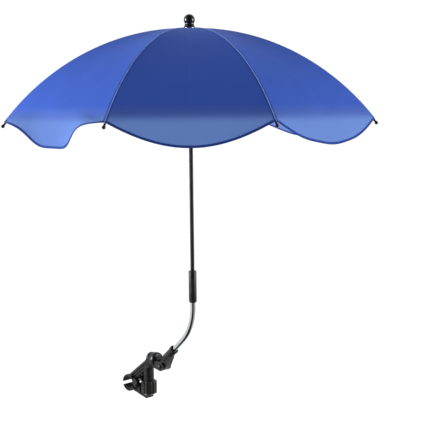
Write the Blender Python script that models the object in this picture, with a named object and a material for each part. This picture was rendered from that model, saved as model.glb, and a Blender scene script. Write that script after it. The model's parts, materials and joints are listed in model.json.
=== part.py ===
"""Stroller parasol: a bar clamp, a swivel and tilt joint, a bent tube, and an eight-rib folding canopy.

The frame: the origin is the middle of the gripped handlebar, +X runs along the bar, -Y is forward and
+Z is up. The clamp, its arm, the tube and the shaft all lie in the plane X = 0.
"""

import math

import bmesh
import bpy
from mathutils import Matrix, Vector

MM = 0.001
GAP = 0.3 * MM
CHAMFER = 1 * MM
PAST = 1 * MM
FLUSH = 0.01 * MM
STEPS = 24
SMALL_STEPS = 16
TINY_STEPS = 8

# Jaws: they close round the bar, which runs along X
BAR_RADIUS = 12.5 * MM
PAD_THICKNESS = 1.7 * MM
JAW_WALL = 2.6 * MM
JAW_WIDTH = 36 * MM
BAND_RISE = 1.2 * MM
BAND_GROOVE = 3 * MM
PAD_WIDTH = 32 * MM
UPPER_JAW_ANGLES = (4, 170)
LOWER_JAW_ANGLES = (-158, -22)
PAD_SETBACK = 3
PAD_GROOVE = 0.5 * MM

# Hinge of the lower jaw, between the bar and the screw
PIN_Y = -23.5 * MM
PIN_Z = -2 * MM
PIN_RADIUS = 2 * MM
PIN_HEAD_RADIUS = 3.1 * MM
PIN_HEAD = 1.5 * MM
BORE_CLEARANCE = 0.3 * MM
KNUCKLE_RADIUS = 4.2 * MM
KNUCKLE_WIDTH = 18 * MM
LUG_ROOT_Z = 7 * MM
LUG_SHOULDER_Z = 14 * MM
LUG_FRONT_Z = 8 * MM
LUG_HEEL_Z = 2.6 * MM
LEVER_HEEL = 1.6 * MM
LEVER_DROP = 1.2 * MM
LEVER_FILLET = 4 * MM
SPRING_WIRE = 1.1 * MM
SPRING_TURNS = 4
SPRING_PITCH = 1.7 * MM
SPRING_LEG = 9 * MM
SPRING_SLOT = 8.4 * MM

# Screw, drum and hand knob, on a vertical axis in front of the hinge
SCREW_Y = -47 * MM
SCREW_RADIUS = 3 * MM
SCREW_LENGTH = 46 * MM
SCREW_TRAVEL = 12 * MM
SCREW_TIP = 0.6 * MM
FLANGE_RADIUS = 5.5 * MM
FLANGE_HEIGHT = 3 * MM
DRUM_RADIUS = 11 * MM
DRUM_CLEARANCE = 1 * MM
KNOB_RADIUS = 17 * MM
KNOB_BOTTOM = -17 * MM
KNOB_HEIGHT = 27 * MM
KNOB_FLOOR = 6.5 * MM
KNOB_CLEARANCE = 0.7 * MM
KNOB_FLUTES = 12
FLUTE_DEPTH = 1.4 * MM
KNOB_CHAMFER = 1.6 * MM
WASHER_RADIUS = 12 * MM
WASHER_THICKNESS = 1.8 * MM
NUT_FLATS = 10 * MM
NUT_HEIGHT = 5 * MM
NUT_LIFT = 11 * MM
NOSE_RADIUS = 4 * MM
NOSE_CLEARANCE = 0.4 * MM

# Ribbed arm from the upper jaw to the swivel
ARM_RISE = 37.4
ARM_TOP = 16.5 * MM
ARM_THICKNESS = 20 * MM
ARM_WIDTH = 22 * MM
ARM_RIBS = 3
ARM_RIB_SHARE = 0.55
ARM_GROOVE = 1.1 * MM
ARM_CORNER = 2.5 * MM
ARM_ROOT = 4 * MM
ARM_END_Y = -60 * MM
SWIVEL_Z = 59 * MM
SWIVEL_RADIUS = 14.5 * MM
SWIVEL_PLATE = 8 * MM
PLATE_TAPER = 4 * MM
SWIVEL_BOLT_RADIUS = 3 * MM
SWIVEL_BOLT_HEAD = 5.5 * MM
SWIVEL_HEAD_HEIGHT = 3 * MM

# Head and tilt joint
HEAD_LENGTH = 17.5 * MM
HEAD_BULGE = 1.5 * MM
HEAD_ROUND = 4.5 * MM
HEAD_WALL = 3 * MM
TILT_Y = -94 * MM
TILT_Z = 50 * MM
CHEEK_RADIUS = 9.5 * MM
CHEEK_THICKNESS = 4.7 * MM
CHEEK_ROOT = 5 * MM
TONGUE_WIDTH = 14 * MM
TILT_BOLT_RADIUS = 2.5 * MM
TILT_BOLT_HEAD = 5 * MM
TILT_DOME = 3 * MM
TILT_NUT_FLATS = 9 * MM
TILT_NUT_HEIGHT = 4.5 * MM

# Socket, bent tube and coupling sleeve
SOCKET_RISE = 43
SOCKET_OFFSET = 7.5 * MM
SOCKET_REACH = 52.5 * MM
SOCKET_RADIUS = 8.5 * MM
SOCKET_ROOT = 18 * MM
SOCKET_BED = 4.5 * MM
SOCKET_SWELL = 0.6 * MM
MOUTH_RIM = 0.9 * MM
MOUTH_BAND = 6 * MM
TONGUE_REACH = 16 * MM
TONGUE_HEEL = 4 * MM
TUBE_RADIUS = 5.5 * MM
STRAIGHT_RUN = 32 * MM
BEND_RADIUS = 100 * MM
BEND_STEPS = 12
SLEEVE_RADIUS = 8 * MM
SLEEVE_BOTTOM = 196 * MM
SLEEVE_LENGTH = 65 * MM
SLEEVE_BORE = 30 * MM
SLEEVE_EDGE = 0.8 * MM

# Shaft and its catches
SHAFT_RADIUS = 4 * MM
SHAFT_WALL = 0.9 * MM
CATCH_REACH = 2.5 * MM
CATCH_LENGTH = 24 * MM
CATCH_WIDTH = 1.6 * MM
CATCH_FACE = 3 * MM
CATCH_DEPTH = 1.4 * MM

# Canopy: its ribs and seams lie on one sphere round the shaft's axis
PANELS = 8
CANOPY_TOP = 742 * MM
CANOPY_SPHERE = 472 * MM
CANOPY_ANGLE = 51.3
CLOTH = 0.8 * MM
CLOTH_HOLE = 5 * MM
SEAM_GAP = 0.8 * MM
PANEL_SAG = 5 * MM
CREASE_RISE = 18 * MM
HEM_DROP = 43 * MM
LOBE_LEAN = 24
LOBE_SWELL = 3 * MM
PANEL_ROWS = 10
LOBE_ROWS = 3
PANEL_COLUMNS = 6

# Ribs, stretchers and what they turn in
RIB_UNDER = 2.5 * MM
RIB_HEIGHT = 2.4 * MM
RIB_WIDTH = 3 * MM
RIB_PIVOT_R = 9 * MM
RIB_EYE = 1.9 * MM
EYE_HOLE = 0.85 * MM
WIRE_RADIUS = 0.5 * MM
WIRE_SIDES = 5
RIB_START = 1.2 * MM
RIB_OVERHANG = 7 * MM
RIB_ROOT_RUN = 25 * MM
RIB_ROOT_SHARE = 0.6
RIB_END_SHARE = 0.6
TIP_LENGTH = 11 * MM
TIP_BALL = 2.9 * MM
TIP_SLEEVE = 2.3 * MM
TIP_WAIST = 1.95 * MM
TIP_BORE = 1.4 * MM
TIP_EDGE = 0.5 * MM
JOINT_ANGLE = 20.8
JOINT_UNDER = 4.4 * MM
JOINT_PIN = 0.85 * MM
STRETCHER_WIDTH = 1.4 * MM
STRETCHER_HEIGHT = 2.2 * MM
STRETCHER_EYE = 1.9 * MM
CLIP_WALL = 0.7 * MM
CLIP_SIZE = 2.2 * MM
RUNNER_DROP = 150 * MM
STRETCHER_END_R = 10 * MM
RUNNER_RADIUS = 11 * MM
RUNNER_CROWN = 8 * MM
RUNNER_LIP = 3 * MM
RUNNER_LENGTH = 27 * MM
RUNNER_WAIST = 7.4 * MM
RUNNER_FLANGE = 9.2 * MM
RUNNER_FLANGE_HEIGHT = 3 * MM
RUNNER_WIRE_R = 7.4 * MM
RUNNER_SLOT_R = 6.4 * MM
NOTCH_RADIUS = 11.5 * MM
NOTCH_HEIGHT = 9 * MM
NOTCH_LIP = 1.3 * MM
NOTCH_NECK = 6.5 * MM
NOTCH_NECK_LENGTH = 8 * MM
SLOT_WIDTH = 2.6 * MM
RIB_FOLD = 60

# Finial
FINIAL_HEIGHT = 27.5 * MM
FINIAL_BALL = 11.2 * MM
FINIAL_NECK = 9 * MM
FINIAL_BASE = 11.6 * MM
FINIAL_FLARE = 2.4 * MM
FINIAL_EDGE = 0.6 * MM
FINIAL_STEPS = 8
CANOPY_WASHER_RADIUS = 10.5 * MM
CANOPY_WASHER_THICKNESS = 1 * MM
SHAFT_IN_FINIAL = 14 * MM

for old in list(bpy.data.objects):
    bpy.data.objects.remove(old, do_unlink=True)


def material(name, colour, roughness, metallic=0.0):
    """A plain Principled material."""
    made = bpy.data.materials.new(name)
    made.use_nodes = True
    shader = made.node_tree.nodes["Principled BSDF"]
    shader.inputs["Base Color"].default_value = (*colour, 1)
    shader.inputs["Roughness"].default_value = roughness
    shader.inputs["Metallic"].default_value = metallic
    return made


BLACK_PLASTIC = material("black_plastic", (0.03, 0.03, 0.032), 0.45)
GLOSS_BLACK = material("gloss_black", (0.012, 0.012, 0.014), 0.12)
SHAFT_PAINT = material("shaft_paint", (0.02, 0.02, 0.022), 0.3)
CHROME = material("chrome", (0.8, 0.8, 0.8), 0.08, 1)
STEEL = material("steel", (0.55, 0.55, 0.56), 0.3, 1)
RUBBER = material("rubber", (0.04, 0.04, 0.04), 0.8)
BLUE_CLOTH = material("blue_cloth", (0.04, 0.1, 0.42), 0.7)
RIB_PAINT = material("rib_paint", (0.05, 0.05, 0.055), 0.35)


def place(name, bm, finish, smooth=35):
    """Make a closed mesh with outward faces into a named object."""
    bmesh.ops.remove_doubles(bm, verts=bm.verts, dist=1e-6)
    bmesh.ops.recalc_face_normals(bm, faces=bm.faces)
    mesh = bpy.data.meshes.new(name)
    bm.to_mesh(mesh)
    bm.free()
    mesh.materials.append(finish)
    mesh.shade_smooth()
    mesh.set_sharp_from_angle(angle=math.radians(smooth))
    made = bpy.data.objects.new(name, mesh)
    bpy.context.collection.objects.link(made)
    return made


def skin(bm, rings, loop=False):
    """Join rings of equal count by quads, and cap the two ends unless the rings form a loop."""
    rows = [[bm.verts.new(p) for p in ring] for ring in rings]
    pairs = list(zip(rows, rows[1:]))
    if loop:
        pairs.append((rows[-1], rows[0]))
    for a, b in pairs:
        for i in range(len(a)):
            j = (i + 1) % len(a)
            bm.faces.new((a[i], a[j], b[j], b[i]))
    if not loop:
        bm.faces.new(rows[0])
        bm.faces.new(rows[-1])


def frame(origin, along, side=(1, 0, 0)):
    """A matrix whose Z runs along a direction and whose X leans to a side."""
    z = Vector(along).normalized()
    y = z.cross(Vector(side)).normalized()
    x = y.cross(z)
    turned = Matrix((x, y, z)).transposed().to_4x4()
    return Matrix.Translation(origin) @ turned


def lathe(bm, profile, at=Matrix(), steps=STEPS, bored=False):
    """Turn (radius, height) points about Z, as a solid or, if bored, as a closed loop round a bore."""
    rings = []
    for r, z in profile:
        turn = [2 * math.pi * i / steps for i in range(steps)]
        rings.append([at @ Vector((r * math.cos(t), r * math.sin(t), z)) for t in turn])
    skin(bm, rings, loop=bored)


def prism(bm, outline, low, high, at=Matrix()):
    """Extrude an outline of (x, y) points from one height to another."""
    skin(bm, [[at @ Vector((x, y, z)) for x, y in outline] for z in (low, high)])


def across(bm, outline, x0, x1):
    """Extrude an outline of (y, z) points along X."""
    skin(bm, [[Vector((x, y, z)) for y, z in outline] for x in (x0, x1)])


def arc(centre, radius, start, end, steps):
    """Points on an arc, angles in degrees from the first axis."""
    turn = [math.radians(start + (end - start) * i / steps) for i in range(steps + 1)]
    return [(centre[0] + radius * math.cos(t), centre[1] + radius * math.sin(t)) for t in turn]


def polygon(flats, sides=6):
    """A regular outline by its width across flats."""
    radius = flats / 2 / math.cos(math.pi / sides)
    return arc((0, 0), radius, 0, 360 - 360 / sides, sides - 1)


def helper(name, bm):
    """A cutter or a joined-on shape, which is not a piece itself."""
    made = place(name, bm, BLACK_PLASTIC)
    made.hide_render = True
    made.display_type = "WIRE"
    return made


def combine(target, how, name, build):
    """Add a Boolean with the shape that build makes."""
    bm = bmesh.new()
    build(bm)
    boolean = target.modifiers.new(name, "BOOLEAN")
    boolean.operation = how
    boolean.solver = "EXACT"
    boolean.object = helper(name, bm)


def bake(target):
    """Apply an object's modifiers, so that copies can share its mesh."""
    evaluated = target.evaluated_get(bpy.context.evaluated_depsgraph_get())
    target.data = bpy.data.meshes.new_from_object(evaluated)
    helpers = [m.object for m in target.modifiers]
    target.modifiers.clear()
    for spare in helpers:
        bpy.data.objects.remove(spare, do_unlink=True)


def pivot(name, where, pieces):
    """An empty on a joint's axis that carries the pieces, which stay where they are."""
    empty = bpy.data.objects.new(name, None)
    empty.location = where
    empty.empty_display_size = 0.01
    bpy.context.collection.objects.link(empty)
    for piece in pieces:
        piece.parent = empty
        piece.matrix_parent_inverse = Matrix.Translation(-Vector(where))
    return empty


# Places worked out from the sizes above
PAD_OUTER = BAR_RADIUS + PAD_THICKNESS
JAW_INNER = PAD_OUTER + GAP
JAW_OUTER = JAW_INNER + JAW_WALL
ARM_ALONG = Vector((0, -math.cos(math.radians(ARM_RISE)), math.sin(math.radians(ARM_RISE))))
ARM_UP = Vector((0, math.sin(math.radians(ARM_RISE)), math.cos(math.radians(ARM_RISE))))
ARM_BOTTOM = ARM_TOP - ARM_THICKNESS
KNOB_TOP = KNOB_BOTTOM + KNOB_HEIGHT
KNOB_CAVITY = DRUM_RADIUS + KNOB_CLEARANCE
FLOOR_Z = KNOB_BOTTOM + KNOB_FLOOR
DRUM_BOTTOM = FLOOR_Z + SCREW_TRAVEL + DRUM_CLEARANCE
WASHER_TOP = KNOB_BOTTOM - GAP
WASHER_BOTTOM = WASHER_TOP - WASHER_THICKNESS
SCREW_BOTTOM = WASHER_BOTTOM + GAP
SCREW_TOP = SCREW_BOTTOM + SCREW_LENGTH
NOSE_Z = WASHER_BOTTOM - NOSE_CLEARANCE - NOSE_RADIUS
NUT_Z = DRUM_BOTTOM + NUT_LIFT
SOCKET_ALONG = Vector((0, -math.cos(math.radians(SOCKET_RISE)), math.sin(math.radians(SOCKET_RISE))))
SOCKET_UP = Vector((0, math.sin(math.radians(SOCKET_RISE)), math.cos(math.radians(SOCKET_RISE))))
TILT = Vector((0, TILT_Y, TILT_Z))
SOCKET_DEPTH = SOCKET_REACH - SOCKET_ROOT - SOCKET_BED
SOCKET_AXIS = TILT + SOCKET_OFFSET * SOCKET_UP
SOCKET_MOUTH = SOCKET_AXIS + SOCKET_REACH * SOCKET_ALONG
BEND_START = SOCKET_MOUTH + STRAIGHT_RUN * SOCKET_ALONG
BEND_CENTRE = BEND_START + BEND_RADIUS * SOCKET_UP
SHAFT_Y = BEND_CENTRE.y - BEND_RADIUS
SLEEVE_TOP = SLEEVE_BOTTOM + SLEEVE_LENGTH
SHAFT_BOTTOM = SLEEVE_TOP - SLEEVE_BORE + GAP
SPHERE_Z = CANOPY_TOP - CLOTH / 2 - CANOPY_SPHERE
RIB_SPHERE = CANOPY_SPHERE - RIB_UNDER
NOTCH_Z = SPHERE_Z + math.sqrt(RIB_SPHERE**2 - RIB_PIVOT_R**2)
RUNNER_Z = NOTCH_Z - RUNNER_DROP
NOTCH_TOP = NOTCH_Z + NOTCH_LIP
SHAFT_TOP = CANOPY_TOP + SHAFT_IN_FINIAL
HALF_PANEL = math.pi / PANELS
FIRST_RIB = math.pi / PANELS
NECK_BORE = SHAFT_RADIUS + BORE_CLEARANCE


def jaw_profile():
    """The jaw's wall as (x, radius) points: three raised bands with a groove between each two."""
    half = JAW_WIDTH / 2
    band = (JAW_WIDTH - 2 * BAND_GROOVE) / 3
    points = [(half, JAW_INNER), (-half, JAW_INNER)]
    for n in range(3):
        start = -half + n * (band + BAND_GROOVE)
        points += [(start, JAW_OUTER), (start + BAND_RISE, JAW_OUTER + BAND_RISE)]
        points += [(start + band - BAND_RISE, JAW_OUTER + BAND_RISE), (start + band, JAW_OUTER)]
    return points


def sector(bm, profile, angles, steps):
    """Sweep (x, radius) points round the bar, angles in degrees from +Y."""
    rings = []
    for i in range(steps + 1):
        t = math.radians(angles[0] + (angles[1] - angles[0]) * i / steps)
        rings.append([Vector((x, r * math.cos(t), r * math.sin(t))) for x, r in profile])
    skin(bm, rings)


def upright(y, z=0.0):
    """A frame with Z up, at a place in the plane X = 0."""
    return Matrix.Translation((0, y, z))


def arm_outline():
    """The arm's section, (x, up): a rounded block with lengthwise grooves on its sides."""
    half = ARM_WIDTH / 2
    pitch = ARM_THICKNESS / (ARM_RIBS + 0.5)
    face = ARM_RIB_SHARE * pitch
    first = ARM_BOTTOM + (ARM_THICKNESS - (ARM_RIBS - 1) * pitch - face) / 2
    side = []
    for n in range(ARM_RIBS):
        low = first + n * pitch
        side += [(half, low), (half, low + face)]
        if n < ARM_RIBS - 1:
            side.append((half - ARM_GROOVE, low + (face + pitch) / 2))
    right = [(half - ARM_CORNER, ARM_BOTTOM)] + side + [(half - ARM_CORNER, ARM_TOP)]
    return right + [(-x, z) for x, z in reversed(right)]


def arm_height(y, level):
    """Height above the bar's axis of the arm's line at a level, over a place y."""
    return (level - y * ARM_UP.y) / ARM_UP.z


def build_clamp_body():
    """Upper jaw, ribbed arm, screw drum, hinge lugs and swivel plate, in one moulding."""
    bm = bmesh.new()
    sector(bm, jaw_profile(), UPPER_JAW_ANGLES, 14)
    body = place("clamp_body", bm, BLACK_PLASTIC)

    def arm(bm):
        at = Matrix((Vector((1, 0, 0)), ARM_UP, ARM_ALONG)).transposed().to_4x4()
        reach = -ARM_END_Y / math.cos(math.radians(ARM_RISE)) + ARM_TOP
        prism(bm, arm_outline(), -ARM_ROOT, reach, at)

    def drum(bm):
        top = arm_height(SCREW_Y, ARM_BOTTOM) + DRUM_RADIUS
        lathe(bm, [(DRUM_RADIUS, DRUM_BOTTOM), (DRUM_RADIUS, top)], upright(SCREW_Y))

    def lug(side):
        inner = side * (KNUCKLE_WIDTH / 2 + GAP)
        outer = side * (JAW_WIDTH / 2 - FLUSH)
        front = PIN_Y - KNUCKLE_RADIUS
        outline = [(-JAW_INNER + PAST, LUG_ROOT_Z), (PIN_Y + KNUCKLE_RADIUS, LUG_SHOULDER_Z)]
        outline += [(front, LUG_FRONT_Z), *arc((PIN_Y, PIN_Z), KNUCKLE_RADIUS, 180, 325, 7)]
        outline += [(-JAW_INNER - GAP, LUG_HEEL_Z)]
        return lambda bm: across(bm, outline, inner, outer)

    def plate(bm):
        taper = PLATE_TAPER / 2
        profile = [(SWIVEL_RADIUS - CHAMFER, 0), (SWIVEL_RADIUS, CHAMFER)]
        profile += [(SWIVEL_RADIUS, SWIVEL_PLATE - taper), (SWIVEL_RADIUS - PLATE_TAPER, SWIVEL_PLATE + taper)]
        lathe(bm, profile, frame((0, ARM_END_Y, SWIVEL_Z), (0, 1, 0)))

    def beyond(bm):
        size = 2 * SWIVEL_Z
        prism(bm, [(-size, -size), (size, -size), (size, 0), (-size, 0)], 0, size, upright(ARM_END_Y))

    def bar_space(bm):
        along_x = frame((-JAW_WIDTH, 0, 0), (1, 0, 0), (0, 1, 0))
        lathe(bm, [(JAW_INNER, 0), (JAW_INNER, 2 * JAW_WIDTH)], along_x)

    def knob_room(bm):
        room = KNOB_RADIUS + KNOB_CLEARANCE
        top = KNOB_TOP + SCREW_TRAVEL + KNOB_CLEARANCE
        ring = [(DRUM_RADIUS, DRUM_BOTTOM - PAST), (room, DRUM_BOTTOM - PAST)]
        lathe(bm, ring + [(room, top), (DRUM_RADIUS, top)], upright(SCREW_Y), bored=True)

    def screw_bore(bm):
        bore = SCREW_RADIUS + BORE_CLEARANCE
        wide = FLANGE_RADIUS + BORE_CLEARANCE
        mouth = DRUM_BOTTOM + FLANGE_HEIGHT + PAST
        top = SCREW_TOP + SCREW_TRAVEL + 2 * PAST
        steps = [(wide, DRUM_BOTTOM - PAST), (wide, mouth), (bore, mouth), (bore, top)]
        lathe(bm, steps, upright(SCREW_Y), SMALL_STEPS)

    def nut_pocket(bm):
        outline = polygon(NUT_FLATS + 2 * GAP)
        prism(bm, outline, NUT_Z - GAP, NUT_Z + NUT_HEIGHT + GAP, upright(SCREW_Y))

    def pin_bore(bm):
        at = frame((-JAW_WIDTH, PIN_Y, PIN_Z), (1, 0, 0), (0, 1, 0))
        radius = PIN_RADIUS + BORE_CLEARANCE
        lathe(bm, [(radius, 0), (radius, 2 * JAW_WIDTH)], at, SMALL_STEPS)

    def swivel_bore(bm):
        at = frame((0, ARM_END_Y, SWIVEL_Z), (0, 1, 0))
        narrow = SWIVEL_BOLT_RADIUS + BORE_CLEARANCE
        wide = SWIVEL_BOLT_HEAD + BORE_CLEARANCE
        seat = SWIVEL_PLATE
        steps = [(narrow, -PAST), (narrow, seat), (wide, seat), (wide, seat + 2 * ARM_THICKNESS)]
        lathe(bm, steps, at, SMALL_STEPS)

    combine(body, "UNION", "arm_shape", arm)
    combine(body, "DIFFERENCE", "arm_end_cut", beyond)
    combine(body, "UNION", "plate_shape", plate)
    combine(body, "DIFFERENCE", "knob_room_cut", knob_room)
    combine(body, "UNION", "drum_shape", drum)
    combine(body, "UNION", "lug_shape_left", lug(-1))
    combine(body, "UNION", "lug_shape_right", lug(1))
    combine(body, "DIFFERENCE", "bar_cut", bar_space)
    combine(body, "DIFFERENCE", "screw_bore_cut", screw_bore)
    combine(body, "DIFFERENCE", "nut_pocket_cut", nut_pocket)
    combine(body, "DIFFERENCE", "pin_bore_cut", pin_bore)
    combine(body, "DIFFERENCE", "swivel_bore_cut", swivel_bore)
    return body


def build_lower_jaw():
    """Lower jaw with its knuckle, and the lever that reaches under the knob to a rounded nose."""
    bm = bmesh.new()
    sector(bm, jaw_profile(), LOWER_JAW_ANGLES, 12)
    jaw = place("lower_jaw", bm, BLACK_PLASTIC)
    half = KNUCKLE_WIDTH / 2
    lever_top = NOSE_Z + NOSE_RADIUS - LEVER_DROP
    behind_knob = SCREW_Y + KNOB_RADIUS + KNOB_CLEARANCE

    def lever(bm):
        outline = arc((0, 0), (JAW_INNER + JAW_OUTER) / 2, -98, -150, 5)
        outline += [(PIN_Y + KNUCKLE_RADIUS - GAP, PIN_Z - LEVER_HEEL)]
        outline += arc((PIN_Y, PIN_Z), KNUCKLE_RADIUS, 20, 200, 8)
        outline += [(PIN_Y - KNUCKLE_RADIUS, lever_top + LEVER_FILLET), (behind_knob, lever_top)]
        outline += [(SCREW_Y + NOSE_RADIUS, lever_top)]
        outline += arc((SCREW_Y, NOSE_Z), NOSE_RADIUS, 45, 270, 10)
        across(bm, outline, -half, half)

    def bar_space(bm):
        along_x = frame((-JAW_WIDTH, 0, 0), (1, 0, 0), (0, 1, 0))
        lathe(bm, [(JAW_INNER, 0), (JAW_INNER, 2 * JAW_WIDTH)], along_x)

    def pin_bore(bm):
        at = frame((-half - PAST, PIN_Y, PIN_Z), (1, 0, 0), (0, 1, 0))
        radius = PIN_RADIUS + BORE_CLEARANCE
        lathe(bm, [(radius, 0), (radius, KNUCKLE_WIDTH + 2 * PAST)], at, SMALL_STEPS)

    def spring_room(bm):
        at = frame((-SPRING_SLOT / 2, PIN_Y, PIN_Z), (1, 0, 0), (0, 1, 0))
        radius = KNUCKLE_RADIUS + 2 * GAP
        lathe(bm, [(radius, 0), (radius, SPRING_SLOT)], at, STEPS)

    combine(jaw, "UNION", "lever_shape", lever)
    combine(jaw, "DIFFERENCE", "jaw_bar_cut", bar_space)
    combine(jaw, "DIFFERENCE", "jaw_pin_cut", pin_bore)
    combine(jaw, "DIFFERENCE", "spring_room_cut", spring_room)
    return jaw


def build_pad(name, angles):
    """A rubber pad against the inside of a jaw, with two grip grooves along the bar's turn."""
    half = PAD_WIDTH / 2
    groove = PAD_GROOVE
    profile = [(half, PAD_OUTER), (-half, PAD_OUTER), (-half, BAR_RADIUS)]
    for x in (-PAD_WIDTH / 6, PAD_WIDTH / 6):
        profile += [(x - 2 * groove, BAR_RADIUS), (x, BAR_RADIUS + groove), (x + 2 * groove, BAR_RADIUS)]
    profile += [(half, BAR_RADIUS)]
    bm = bmesh.new()
    sector(bm, profile, (angles[0] + PAD_SETBACK, angles[1] - PAD_SETBACK), 12)
    return place(name, bm, RUBBER)


def build_jaw_pin():
    """The hinge pin, with a head on each side of the lugs."""
    half = JAW_WIDTH / 2 + GAP
    rim = PIN_HEAD_RADIUS - PIN_HEAD / 2
    profile = [(0, -half - PIN_HEAD), (rim, -half - PIN_HEAD), (PIN_HEAD_RADIUS, -half - PIN_HEAD / 2)]
    profile += [(PIN_HEAD_RADIUS, -half), (PIN_RADIUS, -half)]
    profile += [(r, -z) for r, z in reversed(profile)]
    bm = bmesh.new()
    lathe(bm, profile, frame((0, PIN_Y, PIN_Z), (1, 0, 0), (0, 1, 0)), SMALL_STEPS)
    return place("jaw_pin", bm, STEEL)


def tube_rings(path, radius, sides):
    """Rings square to a path of points, each turned as little as possible from the last."""
    rings = []
    side = Vector((1, 0, 0))
    for i, p in enumerate(path):
        ahead = path[min(i + 1, len(path) - 1)]
        behind = path[max(i - 1, 0)]
        along = (ahead - behind).normalized()
        side = (side - side.dot(along) * along).normalized()
        up = along.cross(side)
        turn = [2 * math.pi * k / sides for k in range(sides)]
        rings.append([p + radius * (math.cos(t) * side + math.sin(t) * up) for t in turn])
    return rings


def build_jaw_spring():
    """A coil round the hinge pin with one leg up against the arm."""
    coil = PIN_RADIUS + 2 * BORE_CLEARANCE + SPRING_WIRE / 2
    per_turn = TINY_STEPS
    count = SPRING_TURNS * per_turn
    path = []
    for i in range(count + 1):
        t = 2 * math.pi * i / per_turn
        x = SPRING_PITCH * (i / per_turn - SPRING_TURNS / 2)
        path.append(Vector((x, PIN_Y - coil * math.cos(t), PIN_Z + coil * math.sin(t))))
    leg_x = path[-1].x
    path += [Vector((leg_x, PIN_Y - coil, PIN_Z + SPRING_LEG * s)) for s in (0.5, 1)]
    bm = bmesh.new()
    skin(bm, tube_rings(path, SPRING_WIRE / 2, WIRE_SIDES))
    return place("jaw_spring", bm, STEEL)


def build_knob():
    """A fluted cup: its floor is bored for the screw, and its rim runs up round the drum."""
    per_flute = 4
    count = KNOB_FLUTES * per_flute
    at = upright(SCREW_Y)

    def ring(radius, z, fluted):
        points = []
        for i in range(count):
            t = 2 * math.pi * i / count
            dip = FLUTE_DEPTH * (1 - math.cos(KNOB_FLUTES * t)) / 2 if fluted else 0
            points.append(at @ Vector(((radius - dip) * math.cos(t), (radius - dip) * math.sin(t), z)))
        return points

    bore = SCREW_RADIUS + BORE_CLEARANCE
    rings = [
        ring(bore, KNOB_BOTTOM, False),
        ring(KNOB_RADIUS - KNOB_CHAMFER, KNOB_BOTTOM, True),
        ring(KNOB_RADIUS, KNOB_BOTTOM + KNOB_CHAMFER, True),
        ring(KNOB_RADIUS, KNOB_TOP - KNOB_CHAMFER, True),
        ring(KNOB_RADIUS - KNOB_CHAMFER, KNOB_TOP, True),
        ring(KNOB_CAVITY, KNOB_TOP, False),
        ring(KNOB_CAVITY, FLOOR_Z, False),
        ring(bore, FLOOR_Z, False),
    ]
    bm = bmesh.new()
    skin(bm, rings, loop=True)
    return place("knob", bm, BLACK_PLASTIC, 25)


def build_clamp_screw():
    """The screw: a shank with a flange that bears on the knob's floor."""
    low = FLOOR_Z + GAP
    tip = SCREW_RADIUS - SCREW_TIP
    profile = [(0, SCREW_BOTTOM), (SCREW_RADIUS, SCREW_BOTTOM), (SCREW_RADIUS, low)]
    profile += [(FLANGE_RADIUS, low), (FLANGE_RADIUS, low + FLANGE_HEIGHT), (SCREW_RADIUS, low + FLANGE_HEIGHT)]
    profile += [(SCREW_RADIUS, SCREW_TOP - SCREW_TIP), (tip, SCREW_TOP), (0, SCREW_TOP)]
    bm = bmesh.new()
    lathe(bm, profile, upright(SCREW_Y), SMALL_STEPS)
    return place("clamp_screw", bm, STEEL)


def ring_solid(name, at, inner, outer, low, high, finish, steps=STEPS):
    """A plain washer or collar."""
    bm = bmesh.new()
    lathe(bm, [(inner, low), (outer, low), (outer, high), (inner, high)], at, steps, bored=True)
    return place(name, bm, finish)


def hex_nut(name, at, flats, bore, height, finish):
    """A six-sided nut whose bore has the same count of points as its sides, doubled."""
    count = 12
    outline = polygon(flats)
    outer = []
    for i in range(6):
        a, b = Vector(outline[i]), Vector(outline[(i + 1) % 6])
        outer += [a, (a + b) / 2]
    inner = [Vector(p) for p in arc((0, 0), bore, 0, 360 - 360 / count, count - 1)]
    layers = [(inner, 0), (outer, 0), (outer, height), (inner, height)]
    bm = bmesh.new()
    skin(bm, [[at @ Vector((p.x, p.y, z)) for p in points] for points, z in layers], loop=True)
    return place(name, bm, finish)


def build_head():
    """The swivel head: a rounded barrel and two cheeks that hold the socket's tongue."""
    back = ARM_END_Y - GAP
    front = back - HEAD_LENGTH
    full = SWIVEL_RADIUS + HEAD_BULGE
    at = frame((0, back, SWIVEL_Z), (0, -1, 0))
    profile = [(0, 0), (SWIVEL_RADIUS - CHAMFER, 0), (SWIVEL_RADIUS, CHAMFER), (full, HEAD_LENGTH / 3)]
    profile += arc((full - HEAD_ROUND, HEAD_LENGTH - HEAD_ROUND), HEAD_ROUND, 0, 90, 3)
    profile += [(0, HEAD_LENGTH)]
    bm = bmesh.new()
    lathe(bm, profile, at)
    head = place("swivel_head", bm, BLACK_PLASTIC)
    inner = TONGUE_WIDTH / 2 + GAP

    def cheek(side):
        outline = arc((TILT_Y, TILT_Z), CHEEK_RADIUS, 90, 270, 12)
        outline += [(front + CHEEK_ROOT, TILT_Z - CHEEK_RADIUS / 2), (front + 2 * CHEEK_ROOT, TILT_Z)]
        outline += [(front + CHEEK_ROOT, TILT_Z + CHEEK_RADIUS)]
        return lambda bm: across(bm, outline, side * inner, side * (inner + CHEEK_THICKNESS))

    def bolt_bore(bm):
        at = frame((-SWIVEL_RADIUS * 2, TILT_Y, TILT_Z), (1, 0, 0), (0, 1, 0))
        radius = TILT_BOLT_RADIUS + BORE_CLEARANCE
        lathe(bm, [(radius, 0), (radius, SWIVEL_RADIUS * 4)], at, SMALL_STEPS)

    def swivel_bore(bm):
        at = frame((0, back, SWIVEL_Z), (0, -1, 0))
        radius = SWIVEL_BOLT_RADIUS + BORE_CLEARANCE
        lathe(bm, [(radius, -PAST), (radius, HEAD_LENGTH - HEAD_WALL)], at, SMALL_STEPS)

    combine(head, "UNION", "cheek_shape_left", cheek(-1))
    combine(head, "UNION", "cheek_shape_right", cheek(1))
    combine(head, "DIFFERENCE", "tilt_bore_cut", bolt_bore)
    combine(head, "DIFFERENCE", "head_bore_cut", swivel_bore)
    return head


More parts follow.
